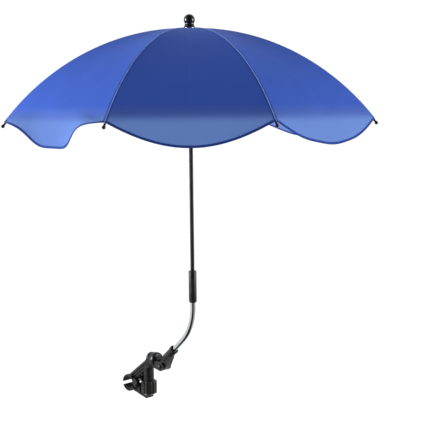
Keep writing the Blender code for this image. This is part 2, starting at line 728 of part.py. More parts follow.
def build_swivel_bolt():
    """The bolt that holds the head on the arm, its head sunk in the arm from behind."""
    at = frame((0, ARM_END_Y, SWIVEL_Z), (0, -1, 0))
    seat = -SWIVEL_PLATE - GAP
    end = HEAD_LENGTH - HEAD_WALL - GAP
    back = seat - SWIVEL_HEAD_HEIGHT
    profile = [(0, back), (SWIVEL_BOLT_HEAD - CHAMFER, back), (SWIVEL_BOLT_HEAD, back + CHAMFER)]
    profile += [(SWIVEL_BOLT_HEAD, seat), (SWIVEL_BOLT_RADIUS, seat), (SWIVEL_BOLT_RADIUS, end), (0, end)]
    bm = bmesh.new()
    lathe(bm, profile, at, SMALL_STEPS)
    return place("swivel_bolt", bm, STEEL)


def build_tilt_bolt():
    """The bolt through the cheeks, with a domed head on the side of -X."""
    outside = TONGUE_WIDTH / 2 + GAP + CHEEK_THICKNESS + GAP
    at = frame((0, TILT_Y, TILT_Z), (1, 0, 0), (0, 1, 0))
    dome = [(TILT_BOLT_HEAD * x, -outside - TILT_DOME * y) for y, x in arc((0, 0), 1, 0, 90, 4)]
    end = outside + TILT_NUT_HEIGHT + CHAMFER
    profile = dome + [(TILT_BOLT_RADIUS, -outside), (TILT_BOLT_RADIUS, end), (0, end)]
    bm = bmesh.new()
    lathe(bm, profile, at, SMALL_STEPS)
    return place("tilt_bolt", bm, STEEL)


def build_socket():
    """The socket: a receiver bored for the tube, rounded at its root, with a tongue below it."""
    axis = frame(SOCKET_AXIS, SOCKET_ALONG)
    root = SOCKET_ROOT
    big = SOCKET_RADIUS + SOCKET_SWELL
    rim = SOCKET_RADIUS + MOUTH_RIM
    profile = arc((0, root), big, -90, 0, 4)
    profile += [(big, root + MOUTH_BAND), (SOCKET_RADIUS, SOCKET_REACH - MOUTH_BAND - CHAMFER)]
    profile += [(rim, SOCKET_REACH - MOUTH_BAND), (rim, SOCKET_REACH - CHAMFER)]
    profile += [(SOCKET_RADIUS, SOCKET_REACH), (0, SOCKET_REACH)]
    bm = bmesh.new()
    lathe(bm, profile, axis)
    socket = place("socket", bm, BLACK_PLASTIC)
    round_tongue = CHEEK_RADIUS - GAP

    def tongue(bm):
        outline = arc((0, 0), round_tongue, 100, 270, 12)
        outline += [(root - TONGUE_HEEL, -round_tongue + CHAMFER)]
        outline += [(root + TONGUE_REACH, SOCKET_OFFSET - big + CHAMFER), (root + TONGUE_REACH, SOCKET_OFFSET)]
        outline += [(root - CHAMFER, SOCKET_OFFSET + TONGUE_HEEL)]
        turned = Matrix((SOCKET_ALONG, SOCKET_UP, Vector((1, 0, 0)))).transposed().to_4x4()
        prism(bm, outline, -TONGUE_WIDTH / 2, TONGUE_WIDTH / 2, Matrix.Translation(TILT) @ turned)

    def bore(bm):
        radius = TUBE_RADIUS + BORE_CLEARANCE
        lathe(bm, [(radius, SOCKET_REACH - SOCKET_DEPTH), (radius, SOCKET_REACH + PAST)], axis)

    def bolt_bore(bm):
        at = frame((-TONGUE_WIDTH, TILT_Y, TILT_Z), (1, 0, 0), (0, 1, 0))
        radius = TILT_BOLT_RADIUS + BORE_CLEARANCE
        lathe(bm, [(radius, 0), (radius, 2 * TONGUE_WIDTH)], at, SMALL_STEPS)

    combine(socket, "UNION", "tongue_shape", tongue)
    combine(socket, "DIFFERENCE", "tube_bore_cut", bore)
    combine(socket, "DIFFERENCE", "tongue_bore_cut", bolt_bore)
    return socket


def build_chrome_tube():
    """The tube: straight out of the socket, then one bend up to the shaft's axis."""
    depth = SOCKET_DEPTH - GAP
    path = [SOCKET_MOUTH - depth * SOCKET_ALONG, SOCKET_MOUTH]
    for i in range(BEND_STEPS + 1):
        t = math.radians(SOCKET_RISE + (90 - SOCKET_RISE) * i / BEND_STEPS)
        path.append(BEND_CENTRE + BEND_RADIUS * Vector((0, -math.sin(t), -math.cos(t))))
    path.append(Vector((0, SHAFT_Y, SLEEVE_BOTTOM + SLEEVE_BORE - GAP)))
    bm = bmesh.new()
    skin(bm, tube_rings(path, TUBE_RADIUS, SMALL_STEPS))
    return place("chrome_tube", bm, CHROME)


def build_sleeve():
    """The coupling: bored from below for the tube and from above for the shaft."""
    wide = TUBE_RADIUS + BORE_CLEARANCE
    edge = SLEEVE_EDGE
    profile = [(0, SLEEVE_BOTTOM + SLEEVE_BORE), (wide, SLEEVE_BOTTOM + SLEEVE_BORE), (wide, SLEEVE_BOTTOM)]
    profile += [(SLEEVE_RADIUS - 3 * edge, SLEEVE_BOTTOM), (SLEEVE_RADIUS - edge, SLEEVE_BOTTOM + edge)]
    profile += [(SLEEVE_RADIUS, SLEEVE_BOTTOM + 3 * edge), (SLEEVE_RADIUS, SLEEVE_TOP - edge)]
    profile += [(SLEEVE_RADIUS - edge, SLEEVE_TOP), (NECK_BORE, SLEEVE_TOP)]
    profile += [(NECK_BORE, SLEEVE_TOP - SLEEVE_BORE), (0, SLEEVE_TOP - SLEEVE_BORE)]
    bm = bmesh.new()
    lathe(bm, profile, upright(SHAFT_Y))
    return place("sleeve", bm, BLACK_PLASTIC)


def catch_outline(level, up):
    """A catch as (x, z) points: square at its level, sloped away from it."""
    reach = SHAFT_RADIUS + CATCH_REACH
    inside = SHAFT_RADIUS - SHAFT_WALL - CATCH_DEPTH
    away = level + up * CATCH_LENGTH
    return [(inside, level), (reach, level), (reach - GAP, level + up * CATCH_FACE), (inside, away)]


def build_shaft_group(runner_top_closed):
    """The tube of the shaft with its two slots, and the sprung catches that stand in them."""
    low_level = RUNNER_Z + RUNNER_LIP - RUNNER_LENGTH - GAP
    high_level = runner_top_closed + GAP
    inner = SHAFT_RADIUS - SHAFT_WALL
    shaft = ring_solid("shaft", upright(SHAFT_Y), inner, SHAFT_RADIUS, SHAFT_BOTTOM, SHAFT_TOP, SHAFT_PAINT)
    half = CATCH_WIDTH / 2
    catches = []
    for name, level, up in (("top_catch", low_level, -1), ("bottom_catch", high_level, 1)):
        flat = Matrix(((1, 0, 0, 0), (0, 0, 1, SHAFT_Y), (0, 1, 0, 0), (0, 0, 0, 1)))
        bm = bmesh.new()
        prism(bm, catch_outline(level, up), -half, half, flat)
        catches.append(place(name, bm, STEEL))

        def slot(bm, level=level, up=up):
            ends = sorted((level - up * PAST, level + up * (CATCH_LENGTH + PAST)))
            side = half + GAP
            outline = [(0, -side), (2 * SHAFT_RADIUS, -side), (2 * SHAFT_RADIUS, side), (0, side)]
            prism(bm, outline, ends[0], ends[1], upright(SHAFT_Y))

        combine(shaft, "DIFFERENCE", name + "_slot_cut", slot)
    return shaft, catches


def slots(bm, inner, low, high):
    """Eight radial slots as cutters, one at each rib."""
    half = SLOT_WIDTH / 2
    for k in range(PANELS):
        turn = Matrix.Rotation(FIRST_RIB + k * 2 * HALF_PANEL, 4, "Z")
        outer = 2 * NOTCH_RADIUS
        outline = [(inner, -half), (outer, -half), (outer, half), (inner, half)]
        prism(bm, outline, low, high, upright(SHAFT_Y) @ turn)


def wire_ring(name, radius, z):
    """A ring of wire round the shaft."""
    at = upright(SHAFT_Y, z)
    turn = [2 * math.pi * k / WIRE_SIDES for k in range(WIRE_SIDES)]
    profile = [(radius + WIRE_RADIUS * math.cos(t), WIRE_RADIUS * math.sin(t)) for t in turn]
    bm = bmesh.new()
    lathe(bm, profile, at, SMALL_STEPS, bored=True)
    return place(name, bm, STEEL)


def build_crowns():
    """Top notch and runner: slotted crowns with a groove for their wires."""
    groove = WIRE_RADIUS + GAP
    base = NOTCH_TOP - NOTCH_HEIGHT
    foot = base - NOTCH_NECK_LENGTH
    seat = RIB_PIVOT_R - groove
    profile = [(NECK_BORE, foot), (NOTCH_NECK, foot), (NOTCH_NECK, base), (NOTCH_RADIUS, base)]
    profile += [(NOTCH_RADIUS, NOTCH_Z - groove), (seat, NOTCH_Z - groove), (seat, NOTCH_Z + groove)]
    profile += [(NOTCH_RADIUS, NOTCH_Z + groove), (NOTCH_RADIUS, NOTCH_TOP), (NECK_BORE, NOTCH_TOP)]
    bm = bmesh.new()
    lathe(bm, profile, upright(SHAFT_Y), STEPS, bored=True)
    notch = place("top_notch", bm, BLACK_PLASTIC)
    inner = RIB_PIVOT_R - RIB_EYE - GAP
    combine(notch, "DIFFERENCE", "notch_slots_cut", lambda bm: slots(bm, inner, base - PAST, NOTCH_TOP + PAST))

    high = RUNNER_Z + RUNNER_LIP
    low = high - RUNNER_LENGTH
    shoulder = high - RUNNER_CROWN
    seat = RUNNER_WIRE_R - groove
    foot = low + RUNNER_FLANGE_HEIGHT
    profile = [(NECK_BORE, low), (RUNNER_FLANGE - CHAMFER, low), (RUNNER_FLANGE, low + CHAMFER)]
    profile += [(RUNNER_FLANGE, foot), (RUNNER_WAIST, foot + CHAMFER), (RUNNER_WAIST, shoulder - CHAMFER)]
    profile += [(RUNNER_RADIUS, shoulder), (RUNNER_RADIUS, RUNNER_Z - groove), (seat, RUNNER_Z - groove)]
    profile += [(seat, RUNNER_Z + groove), (RUNNER_RADIUS, RUNNER_Z + groove), (RUNNER_RADIUS, high)]
    profile += [(NECK_BORE, high)]
    bm = bmesh.new()
    lathe(bm, profile, upright(SHAFT_Y), STEPS, bored=True)
    runner = place("runner", bm, BLACK_PLASTIC)
    slot_foot = shoulder + CHAMFER
    combine(runner, "DIFFERENCE", "runner_slots_cut", lambda bm: slots(bm, RUNNER_SLOT_R, slot_foot, high + PAST))
    wires = [wire_ring("notch_wire", RIB_PIVOT_R, NOTCH_Z), wire_ring("runner_wire", RUNNER_WIRE_R, RUNNER_Z)]
    return notch, runner, wires


def on_sphere(radius, angle):
    """A point of the canopy's meridian, x out from the shaft's axis, angle in radians from the top."""
    return Vector((radius * math.sin(angle), 0, SPHERE_Z + radius * math.cos(angle)))


def stations(first):
    """The angles at which both ribs and panels have their points, so that their facets run parallel."""
    last = math.radians(CANOPY_ANGLE)
    return [first + (last - first) * i / PANEL_ROWS for i in range(PANEL_ROWS + 1)]


HOLE_ANGLE = math.asin(CLOTH_HOLE / CANOPY_SPHERE)
PIVOT_ANGLE = math.asin(RIB_PIVOT_R / RIB_SPHERE)
JOINT = on_sphere(RIB_SPHERE - JOINT_UNDER, math.radians(JOINT_ANGLE))
RIB_PIVOT = Vector((RIB_PIVOT_R, 0, NOTCH_Z))
STRETCHER_END = Vector((STRETCHER_END_R, 0, RUNNER_Z))


def rib_section(point, along, half_width, half_height):
    """Six points round the rib, narrow at its top so that it stays clear of the cloth."""
    up = Vector((-along.z, 0, along.x))
    side = Vector((0, 1, 0))
    shape = [(0.45, 1), (1, 0.35), (1, -1), (-1, -1), (-1, 0.35), (-0.45, 1)]
    return [point + half_width * a * side + half_height * b * up for a, b in shape]


def build_rib_mesh():
    """One rib in the plane Y = 0, its origin on its pivot: eye, bowed strip, and the stretcher's clip."""
    rows = [a for a in stations(HOLE_ANGLE) if a > PIVOT_ANGLE * 1.5]
    ends = [PIVOT_ANGLE + RIB_START / RIB_SPHERE, *rows]
    last = rows[-1] + RIB_OVERHANG / RIB_SPHERE
    rings = []
    for a in [*ends, last]:
        along = Vector((math.cos(a), 0, -math.sin(a)))
        share = max(0, (a - math.radians(JOINT_ANGLE)) / (last - math.radians(JOINT_ANGLE)))
        near = min(1, a * RIB_SPHERE / RIB_ROOT_RUN)
        thin = 1 - (1 - RIB_END_SHARE) * share
        half_width = RIB_WIDTH / 2 * (RIB_ROOT_SHARE + (1 - RIB_ROOT_SHARE) * near) * thin
        half_height = RIB_HEIGHT / 2 * thin
        rings.append(rib_section(on_sphere(RIB_SPHERE, a) - RIB_PIVOT, along, half_width, half_height))
    bm = bmesh.new()
    skin(bm, rings)
    rib = place("rib_1", bm, RIB_PAINT)
    crosswise = Matrix.Rotation(math.radians(-90), 4, "X")

    def eye(bm):
        half = RIB_WIDTH / 2 * RIB_ROOT_SHARE
        lathe(bm, [(RIB_EYE, -half), (RIB_EYE, half)], crosswise, TINY_STEPS)

    def eye_hole(bm):
        lathe(bm, [(EYE_HOLE, -RIB_WIDTH), (EYE_HOLE, RIB_WIDTH)], crosswise, TINY_STEPS)

    joint = JOINT - RIB_PIVOT
    inner = STRETCHER_WIDTH / 2 + GAP

    def clip(side):
        a = math.radians(JOINT_ANGLE)
        along = Vector((math.cos(a), 0, -math.sin(a)))
        up = Vector((math.sin(a), 0, math.cos(a)))
        at = Matrix.Translation(joint) @ Matrix((along, up, Vector((0, -1, 0)))).transposed().to_4x4()
        outline = arc((0, 0), CLIP_SIZE, 180, 360, 4) + [(CLIP_SIZE, JOINT_UNDER), (-CLIP_SIZE, JOINT_UNDER)]
        return lambda bm: prism(bm, outline, side * inner, side * (inner + CLIP_WALL), at)

    def pin(bm):
        half = inner + CLIP_WALL / 2
        lathe(bm, [(JOINT_PIN, -half), (JOINT_PIN, half)], Matrix.Translation(joint) @ crosswise, TINY_STEPS)

    combine(rib, "UNION", "eye_shape", eye)
    combine(rib, "DIFFERENCE", "eye_hole_cut", eye_hole)
    combine(rib, "UNION", "clip_shape_left", clip(-1))
    combine(rib, "UNION", "clip_shape_right", clip(1))
    combine(rib, "UNION", "clip_pin_shape", pin)
    bake(rib)
    return rib


def build_tip_mesh():
    """The ball tip: a sleeve over the rib's end, in the rib's own frame."""
    a = math.radians(CANOPY_ANGLE) + PAST / RIB_SPHERE
    along = Vector((math.cos(a), 0, -math.sin(a)))
    start = on_sphere(RIB_SPHERE, a) - RIB_PIVOT
    ball_at = TIP_LENGTH - TIP_BALL
    profile = [(0, RIB_OVERHANG), (TIP_BORE, RIB_OVERHANG), (TIP_BORE, 0)]
    profile += [(TIP_SLEEVE - TIP_EDGE, 0), (TIP_SLEEVE, TIP_EDGE), (TIP_WAIST, ball_at - TIP_WAIST)]
    profile += arc((0, ball_at), TIP_BALL, -30, 90, 4)
    bm = bmesh.new()
    lathe(bm, profile, frame(start, along, (0, 1, 0)), TINY_STEPS)
    return place("rib_tip_1", bm, GLOSS_BLACK)


def build_stretcher_mesh():
    """One stretcher, its origin on its joint with the rib: a flat strip with an eye."""
    along = (STRETCHER_END - JOINT).normalized()
    length = (STRETCHER_END - JOINT).length
    up = Vector((along.z, 0, -along.x))
    at = Matrix((along, up, Vector((0, -1, 0)))).transposed().to_4x4()
    half = STRETCHER_WIDTH / 2
    start = math.degrees(math.asin(STRETCHER_HEIGHT / 2 / STRETCHER_EYE))
    outline = arc((0, 0), STRETCHER_EYE, start, 360 - start, TINY_STEPS)
    end = STRETCHER_HEIGHT / 2
    outline += arc((length - end, 0), end, -90, 90, 4)
    bm = bmesh.new()
    prism(bm, outline, -half, half, at)
    stretcher = place("stretcher_1", bm, RIB_PAINT)
    hole = JOINT_PIN + BORE_CLEARANCE
    crosswise = Matrix.Rotation(math.radians(-90), 4, "X")
    combine(
        stretcher,
        "DIFFERENCE",
        "stretcher_hole_cut",
        lambda bm: lathe(bm, [(hole, -3 * half), (hole, 3 * half)], crosswise, TINY_STEPS),
    )
    bake(stretcher)
    return stretcher


def fold_angles():
    """How far a rib folds, where the runner then is, and how far the stretcher turns on its rib."""
    fold = math.radians(RIB_FOLD)
    arm = JOINT - RIB_PIVOT
    folded = RIB_PIVOT + Matrix.Rotation(fold, 3, "Y") @ arm
    length = (STRETCHER_END - JOINT).length
    drop = math.sqrt(length**2 - (folded.x - STRETCHER_END_R) ** 2)
    closed = Vector((STRETCHER_END_R, 0, folded.z - drop))
    before = math.atan2(STRETCHER_END.z - JOINT.z, STRETCHER_END.x - JOINT.x)
    after = math.atan2(closed.z - folded.z, closed.x - folded.x)
    return fold, STRETCHER_END.z - closed.z, (after - before) + fold


def panel_point(across_share, row, depth):
    """A point of a panel, its middle plane at +X: row counts down the ribs, then down the lobe."""
    first, last = HOLE_ANGLE, math.radians(CANOPY_ANGLE)
    spread = 1 - across_share**2
    crease = math.acos(math.cos(last) + CREASE_RISE * spread / CANOPY_SPHERE)
    share = min(row / PANEL_ROWS, 1)
    angle = first + (crease - first) * share
    radius = CANOPY_SPHERE + depth
    out = radius * math.sin(angle)
    up = SPHERE_Z + radius * math.cos(angle)
    sag = PANEL_SAG * spread * math.sin(math.pi * share) ** 2
    x = out * math.cos(HALF_PANEL) - sag * math.sin(angle)
    y = across_share * (out * math.sin(HALF_PANEL) - SEAM_GAP / 2)
    z = up - sag * math.cos(angle)
    low = max(row - PANEL_ROWS, 0) / LOBE_ROWS
    fall = (CREASE_RISE + HEM_DROP) * spread * low
    swell = LOBE_SWELL * spread * math.sin(math.pi * low)
    x += fall * math.tan(math.radians(LOBE_LEAN)) + swell
    return Vector((x, y, z - fall))


def build_gore_mesh(origin):
    """One panel of the canopy as a closed sheet: drawn in between its ribs, with its lobe below."""
    rows = PANEL_ROWS + LOBE_ROWS
    columns = PANEL_COLUMNS
    bm = bmesh.new()
    sheets = []
    for depth in (CLOTH / 2, -CLOTH / 2):
        sheets.append(
            [
                [bm.verts.new(panel_point(2 * c / columns - 1, r, depth) - origin) for c in range(columns + 1)]
                for r in range(rows + 1)
            ]
        )
    top, under = sheets
    for r in range(rows):
        for c in range(columns):
            bm.faces.new((top[r][c], top[r + 1][c], top[r + 1][c + 1], top[r][c + 1]))
            bm.faces.new((under[r][c], under[r][c + 1], under[r + 1][c + 1], under[r + 1][c]))
        for c in (0, columns):
            bm.faces.new((top[r][c], top[r + 1][c], under[r + 1][c], under[r][c]))
    for r in (0, rows):
        for c in range(columns):
            bm.faces.new((top[r][c], top[r][c + 1], under[r][c + 1], under[r][c]))
    return place("gore_1", bm, BLUE_CLOTH, 60)


def rib_turn(azimuth, angle):
    """How a rib at an azimuth moves when it folds down by an angle."""
    out = Vector((math.cos(azimuth), math.sin(azimuth), 0))
    crosswise = Vector((-out.y, out.x, 0))
    point = RIB_PIVOT_R * out + Vector((0, 0, NOTCH_Z))
    return Matrix.Translation(point) @ Matrix.Rotation(angle, 4, crosswise) @ Matrix.Translation(-point)


def gore_hinge():
    """Axis point, direction and angle by which a panel turns on its first rib to follow its second.

    The panel's middle plane is at +X, so its ribs stand half a panel to each side, and by symmetry
    the axis lies in that plane.
    """
    fold = math.radians(RIB_FOLD)
    move = rib_turn(-HALF_PANEL, fold).inverted() @ rib_turn(HALF_PANEL, fold)
    direction, angle = move.to_quaternion().to_axis_angle()
    shift = move.to_translation()
    shift -= shift.dot(direction) * direction
    point = shift / 2 + direction.cross(shift) / (2 * math.tan(angle / 2))
    point -= direction * (point.x / direction.x)
    return point, direction, angle


def build_canopy():
    """Eight ribs with their tips and stretchers, and the eight panels between them."""
    rib = build_rib_mesh()
    tip = build_tip_mesh()
    stretcher = build_stretcher_mesh()
    hinge = gore_hinge()[0]
    gore = build_gore_mesh(hinge)
    centre = upright(SHAFT_Y)
    for k in range(PANELS):
        azimuth = FIRST_RIB + k * 2 * HALF_PANEL
        turn = centre @ Matrix.Rotation(azimuth, 4, "Z")
        middle = centre @ Matrix.Rotation(azimuth + HALF_PANEL, 4, "Z")
        number = str(k + 1)
        for first, where in (
            (rib, turn @ Matrix.Translation(RIB_PIVOT)),
            (tip, turn @ Matrix.Translation(RIB_PIVOT)),
            (stretcher, turn @ Matrix.Translation(JOINT)),
            (gore, middle @ Matrix.Translation(hinge)),
        ):
            piece = first
            if k:
                piece = bpy.data.objects.new(first.name[:-1] + number, first.data)
                bpy.context.collection.objects.link(piece)
            piece.matrix_world = where


def build_finial():
    """The finial: a ball on a waisted neck with a flared base, bored for the shaft's end."""
    base = CANOPY_TOP + CANOPY_WASHER_THICKNESS + 2 * GAP
    ball_z = CANOPY_TOP + FINIAL_HEIGHT - FINIAL_BALL
    bore_top = SHAFT_TOP + GAP
    profile = [(0, bore_top), (NECK_BORE, bore_top), (NECK_BORE, base), (FINIAL_BASE - FINIAL_EDGE, base)]
    profile += [(FINIAL_BASE, base + FINIAL_EDGE), (FINIAL_NECK + FINIAL_EDGE, base + FINIAL_FLARE)]
    neck_turn = math.degrees(math.acos(FINIAL_NECK / FINIAL_BALL))
    profile += arc((0, ball_z), FINIAL_BALL, -neck_turn, 90, FINIAL_STEPS)
    bm = bmesh.new()
    lathe(bm, profile, upright(SHAFT_Y))
    return place("finial", bm, GLOSS_BLACK)


def build_all():
    """Every piece, with the moving ones on their axes."""
    build_clamp_body()
    build_pad("upper_pad", UPPER_JAW_ANGLES)
    build_jaw_pin()
    build_jaw_spring()
    hex_nut("screw_nut", upright(SCREW_Y, NUT_Z), NUT_FLATS, SCREW_RADIUS + BORE_CLEARANCE, NUT_HEIGHT, STEEL)
    lower = [build_lower_jaw(), build_pad("lower_pad", LOWER_JAW_ANGLES)]
    pivot("jaw_axis", (0, PIN_Y, PIN_Z), lower)
    screw = [build_knob(), build_clamp_screw()]
    bore = SCREW_RADIUS + BORE_CLEARANCE
    screw.append(
        ring_solid("thrust_washer", upright(SCREW_Y), bore, WASHER_RADIUS, WASHER_BOTTOM, WASHER_TOP, STEEL)
    )
    pivot("screw_axis", (0, SCREW_Y, KNOB_BOTTOM), screw)
    nut_at = frame((TONGUE_WIDTH / 2 + CHEEK_THICKNESS + 2 * GAP, TILT_Y, TILT_Z), (1, 0, 0), (0, 1, 0))
    nut = hex_nut("tilt_nut", nut_at, TILT_NUT_FLATS, TILT_BOLT_RADIUS + BORE_CLEARANCE, TILT_NUT_HEIGHT, STEEL)
    pivot("swivel_axis", (0, ARM_END_Y, SWIVEL_Z), [build_head(), build_swivel_bolt(), build_tilt_bolt(), nut])
    travel = fold_angles()[1]
    closed_top = RUNNER_Z + RUNNER_LIP - travel
    shaft, catches = build_shaft_group(closed_top)
    notch, runner, wires = build_crowns()
    fixed = [build_socket(), build_chrome_tube(), build_sleeve(), shaft, notch, wires[0], build_finial()]
    low = CANOPY_TOP + GAP
    high = low + CANOPY_WASHER_THICKNESS
    outer = CANOPY_WASHER_RADIUS
    fixed.append(ring_solid("canopy_washer", upright(SHAFT_Y), NECK_BORE, outer, low, high, STEEL))
    pivot("tilt_axis", TILT, fixed)
    pivot("runner_axis", (0, SHAFT_Y, RUNNER_Z), [runner, wires[1]])
    for catch in catches:
        pivot(catch.name + "_axis", (0, SHAFT_Y, RUNNER_Z), [catch])
    build_canopy()


build_all()
fold, travel, turn = fold_angles()
print(f"rib fold {math.degrees(fold):.2f} deg, runner travel {travel / MM:.2f} mm")
print(f"stretcher turn on its rib {math.degrees(turn):.2f} deg, panel hinge {gore_hinge()}")
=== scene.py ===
# %% [markdown]
# A parasol for a pushchair, dressed for a picture.
# The rigid pieces already exist, at their real size and place, as a frame of plain solids. This lesson
# gives them their finish, and makes the soft pieces anew: the canopy's panels, hems, seams and threads.
# Everything is in metres. The origin is the middle of the handlebar that the clamp grips, +X runs along
# that bar, -Y is forward and +Z is up.

# %% Load the frame
import json
import math

import bmesh
import bpy
from mathutils import Matrix, Quaternion, Vector


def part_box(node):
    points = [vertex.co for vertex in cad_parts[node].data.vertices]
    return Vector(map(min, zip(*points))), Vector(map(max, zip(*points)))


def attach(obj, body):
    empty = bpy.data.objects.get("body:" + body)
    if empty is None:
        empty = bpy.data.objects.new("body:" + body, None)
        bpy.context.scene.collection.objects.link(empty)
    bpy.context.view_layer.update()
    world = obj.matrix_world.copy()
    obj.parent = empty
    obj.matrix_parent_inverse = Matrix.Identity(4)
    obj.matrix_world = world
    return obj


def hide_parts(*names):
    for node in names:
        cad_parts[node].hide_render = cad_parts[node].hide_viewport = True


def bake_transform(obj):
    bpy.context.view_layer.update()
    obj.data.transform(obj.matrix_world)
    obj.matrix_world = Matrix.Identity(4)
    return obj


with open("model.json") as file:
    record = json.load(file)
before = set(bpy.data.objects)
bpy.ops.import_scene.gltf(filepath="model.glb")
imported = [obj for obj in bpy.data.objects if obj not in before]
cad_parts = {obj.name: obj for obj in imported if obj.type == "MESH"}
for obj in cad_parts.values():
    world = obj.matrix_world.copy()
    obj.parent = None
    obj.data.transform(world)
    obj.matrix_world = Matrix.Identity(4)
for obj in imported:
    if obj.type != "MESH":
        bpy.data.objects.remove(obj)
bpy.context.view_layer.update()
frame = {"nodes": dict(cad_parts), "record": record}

MM = 0.001
BODY = {node: body for body, nodes in frame["record"]["behaviour"]["bodies"].items() for node in nodes}
shaft_low, shaft_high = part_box("shaft")
SHAFT_Y = (shaft_low.y + shaft_high.y) / 2

# %% [markdown]
# The camera. The photograph was taken a little above the canopy's rim, from the front and the left, so the
# eye is nearly level with the hem. A long lens from about two metres keeps the far ribs almost as large as
# the near ones. The lens is worked out from a focal length in pixels, which is how it was measured.

# %% Stand the camera where the photograph was taken
PICTURE_SIDE = 440
FOCAL_PIXELS = 1002
CAMERA_AT = Vector((-1.41068, -1.59318, 0.58642))
CAMERA_HEADING = math.radians(46.62)
CAMERA_DIP = math.radians(6.389)
CAMERA_ROLL = math.radians(-0.55)

scene = bpy.context.scene
lens = bpy.data.cameras.new("camera")
lens.lens = FOCAL_PIXELS / PICTURE_SIDE * lens.sensor_width
camera = bpy.data.objects.new("camera", lens)
scene.collection.objects.link(camera)
level_heading = Vector((math.sin(CAMERA_HEADING), math.cos(CAMERA_HEADING), 0))
looking = math.cos(CAMERA_DIP) * level_heading - Vector((0, 0, math.sin(CAMERA_DIP)))
aim = looking.to_track_quat("-Z", "Y") @ Quaternion((0, 0, 1), CAMERA_ROLL)
camera.matrix_world = Matrix.Translation(CAMERA_AT) @ aim.to_matrix().to_4x4()
scene.camera = camera
print(f"lens {lens.lens:.1f} mm, {(CAMERA_AT - Vector((0, SHAFT_Y, 0))).length:.2f} m from the shaft")

# %% [markdown]
# The studio. Behind the object all is white, so the world is white where the camera looks at it. For light
# it is a room with a bright wall on the left, a grey one on the right, a white one behind, hardly any
# ceiling and nothing on the camera's side. That dark side is what leaves the near panel deep blue and puts
# the dark line in the chrome. Two tall softboxes stand at the sides, the left one stronger, and draw the
# two small highlights on the glossy ball. The floor glows as paper does, but gloss doesn't mirror it.

# %% Build the white room
FLOOR_Z = -1.0
FLOOR_SIZE = 60
FLOOR_GLOW = 0.75
SEEN_WHITE = 1.05
DAYLIGHT = (0.97, 0.99, 1)
LEFTWARD = Vector((-level_heading.y, level_heading.x, 0))
LEFT_WALL = 0.75
RIGHT_WALL = 0.42
BACK_WALL = 0.95
CEILING = 0.06
ROOM_DIM = 0.02
WALL_FADE = (0.45, 0.7)
scene.view_settings.view_transform = "Standard"


def new_node(tree, kind, **settings):
    """A node of a kind, with its settings."""
    made = tree.nodes.new(kind)
    for name, value in settings.items():
        setattr(made, name, value)
    return made


def feed(tree, value, socket):
    """Give a socket a number, a colour or another node's output."""
    if isinstance(value, bpy.types.NodeSocket):
        tree.links.new(value, socket)
    else:
        socket.default_value = value


def maths(tree, operation, *values):
    """A Math node's output."""
    made = new_node(tree, "ShaderNodeMath", operation=operation)
    for socket, value in zip(made.inputs, values):
        feed(tree, value, socket)
    return made.outputs[0]


def ranged(tree, value, low, high, to_low=0.0, to_high=1.0):
    """A value carried smoothly from one range to another."""
    made = new_node(tree, "ShaderNodeMapRange", interpolation_type="SMOOTHSTEP")
    names = ("Value", "From Min", "From Max", "To Min", "To Max")
    for name, given in zip(names, (value, low, high, to_low, to_high)):
        feed(tree, given, made.inputs[name])
    return made.outputs["Result"]


def mixed(tree, share, one, other):
    """A colour between two."""
    made = new_node(tree, "ShaderNodeMix", data_type="RGBA")
    colours = [s for s in made.inputs if s.type == "RGBA"]
    feed(tree, share, made.inputs["Factor"])
    feed(tree, one, colours[0])
    feed(tree, other, colours[1])
    return next(s for s in made.outputs if s.type == "RGBA")


world = bpy.data.worlds.new("white_room")
world.use_nodes = True
room = world.node_tree
room.nodes.clear()
sky_way = new_node(room, "ShaderNodeTexCoord").outputs["Generated"]


def facing(way):
    """How far the room's direction lies along some way: 1 straight along it, -1 straight against it."""
    made = new_node(room, "ShaderNodeVectorMath", operation="DOT_PRODUCT")
    feed(room, sky_way, made.inputs[0])
    made.inputs[1].default_value = way
    return made.outputs["Value"]


left_wall = ranged(room, facing(LEFTWARD), *WALL_FADE, 0, LEFT_WALL)
right_wall = ranged(room, facing(-LEFTWARD), *WALL_FADE, 0, RIGHT_WALL)
back_wall = ranged(room, facing(level_heading), 0.0, 0.7, 0, BACK_WALL)
walls = maths(room, "MAXIMUM", maths(room, "MAXIMUM", left_wall, right_wall), back_wall)
ceiling = ranged(room, facing((0, 0, 1)), 0.3, 0.9, ROOM_DIM, CEILING)
brightness = maths(room, "ADD", walls, ceiling)
seen_white = new_node(room, "ShaderNodeBackground")
seen_white.inputs["Color"].default_value = (1, 1, 1, 1)
seen_white.inputs["Strength"].default_value = SEEN_WHITE
room_light = new_node(room, "ShaderNodeBackground")
room_light.inputs["Color"].default_value = (*DAYLIGHT, 1)
feed(room, brightness, room_light.inputs["Strength"])
choose = new_node(room, "ShaderNodeMixShader")
feed(room, new_node(room, "ShaderNodeLightPath").outputs["Is Camera Ray"], choose.inputs["Fac"])
feed(room, room_light.outputs[0], choose.inputs[1])
feed(room, seen_white.outputs[0], choose.inputs[2])
feed(room, choose.outputs[0], new_node(room, "ShaderNodeOutputWorld").inputs["Surface"])
scene.world = world

floor_mesh = bpy.data.meshes.new("floor")
half = FLOOR_SIZE / 2
floor_corners = [(x * half, y * half, FLOOR_Z) for x, y in ((-1, -1), (1, -1), (1, 1), (-1, 1))]
floor_mesh.from_pydata(floor_corners, [], [(0, 1, 2, 3)])
floor = bpy.data.objects.new("floor", floor_mesh)
scene.collection.objects.link(floor)
floor.visible_glossy = False
LAMP_DISTANCE = 2.2
HEART = Vector((0, SHAFT_Y, 0.6))


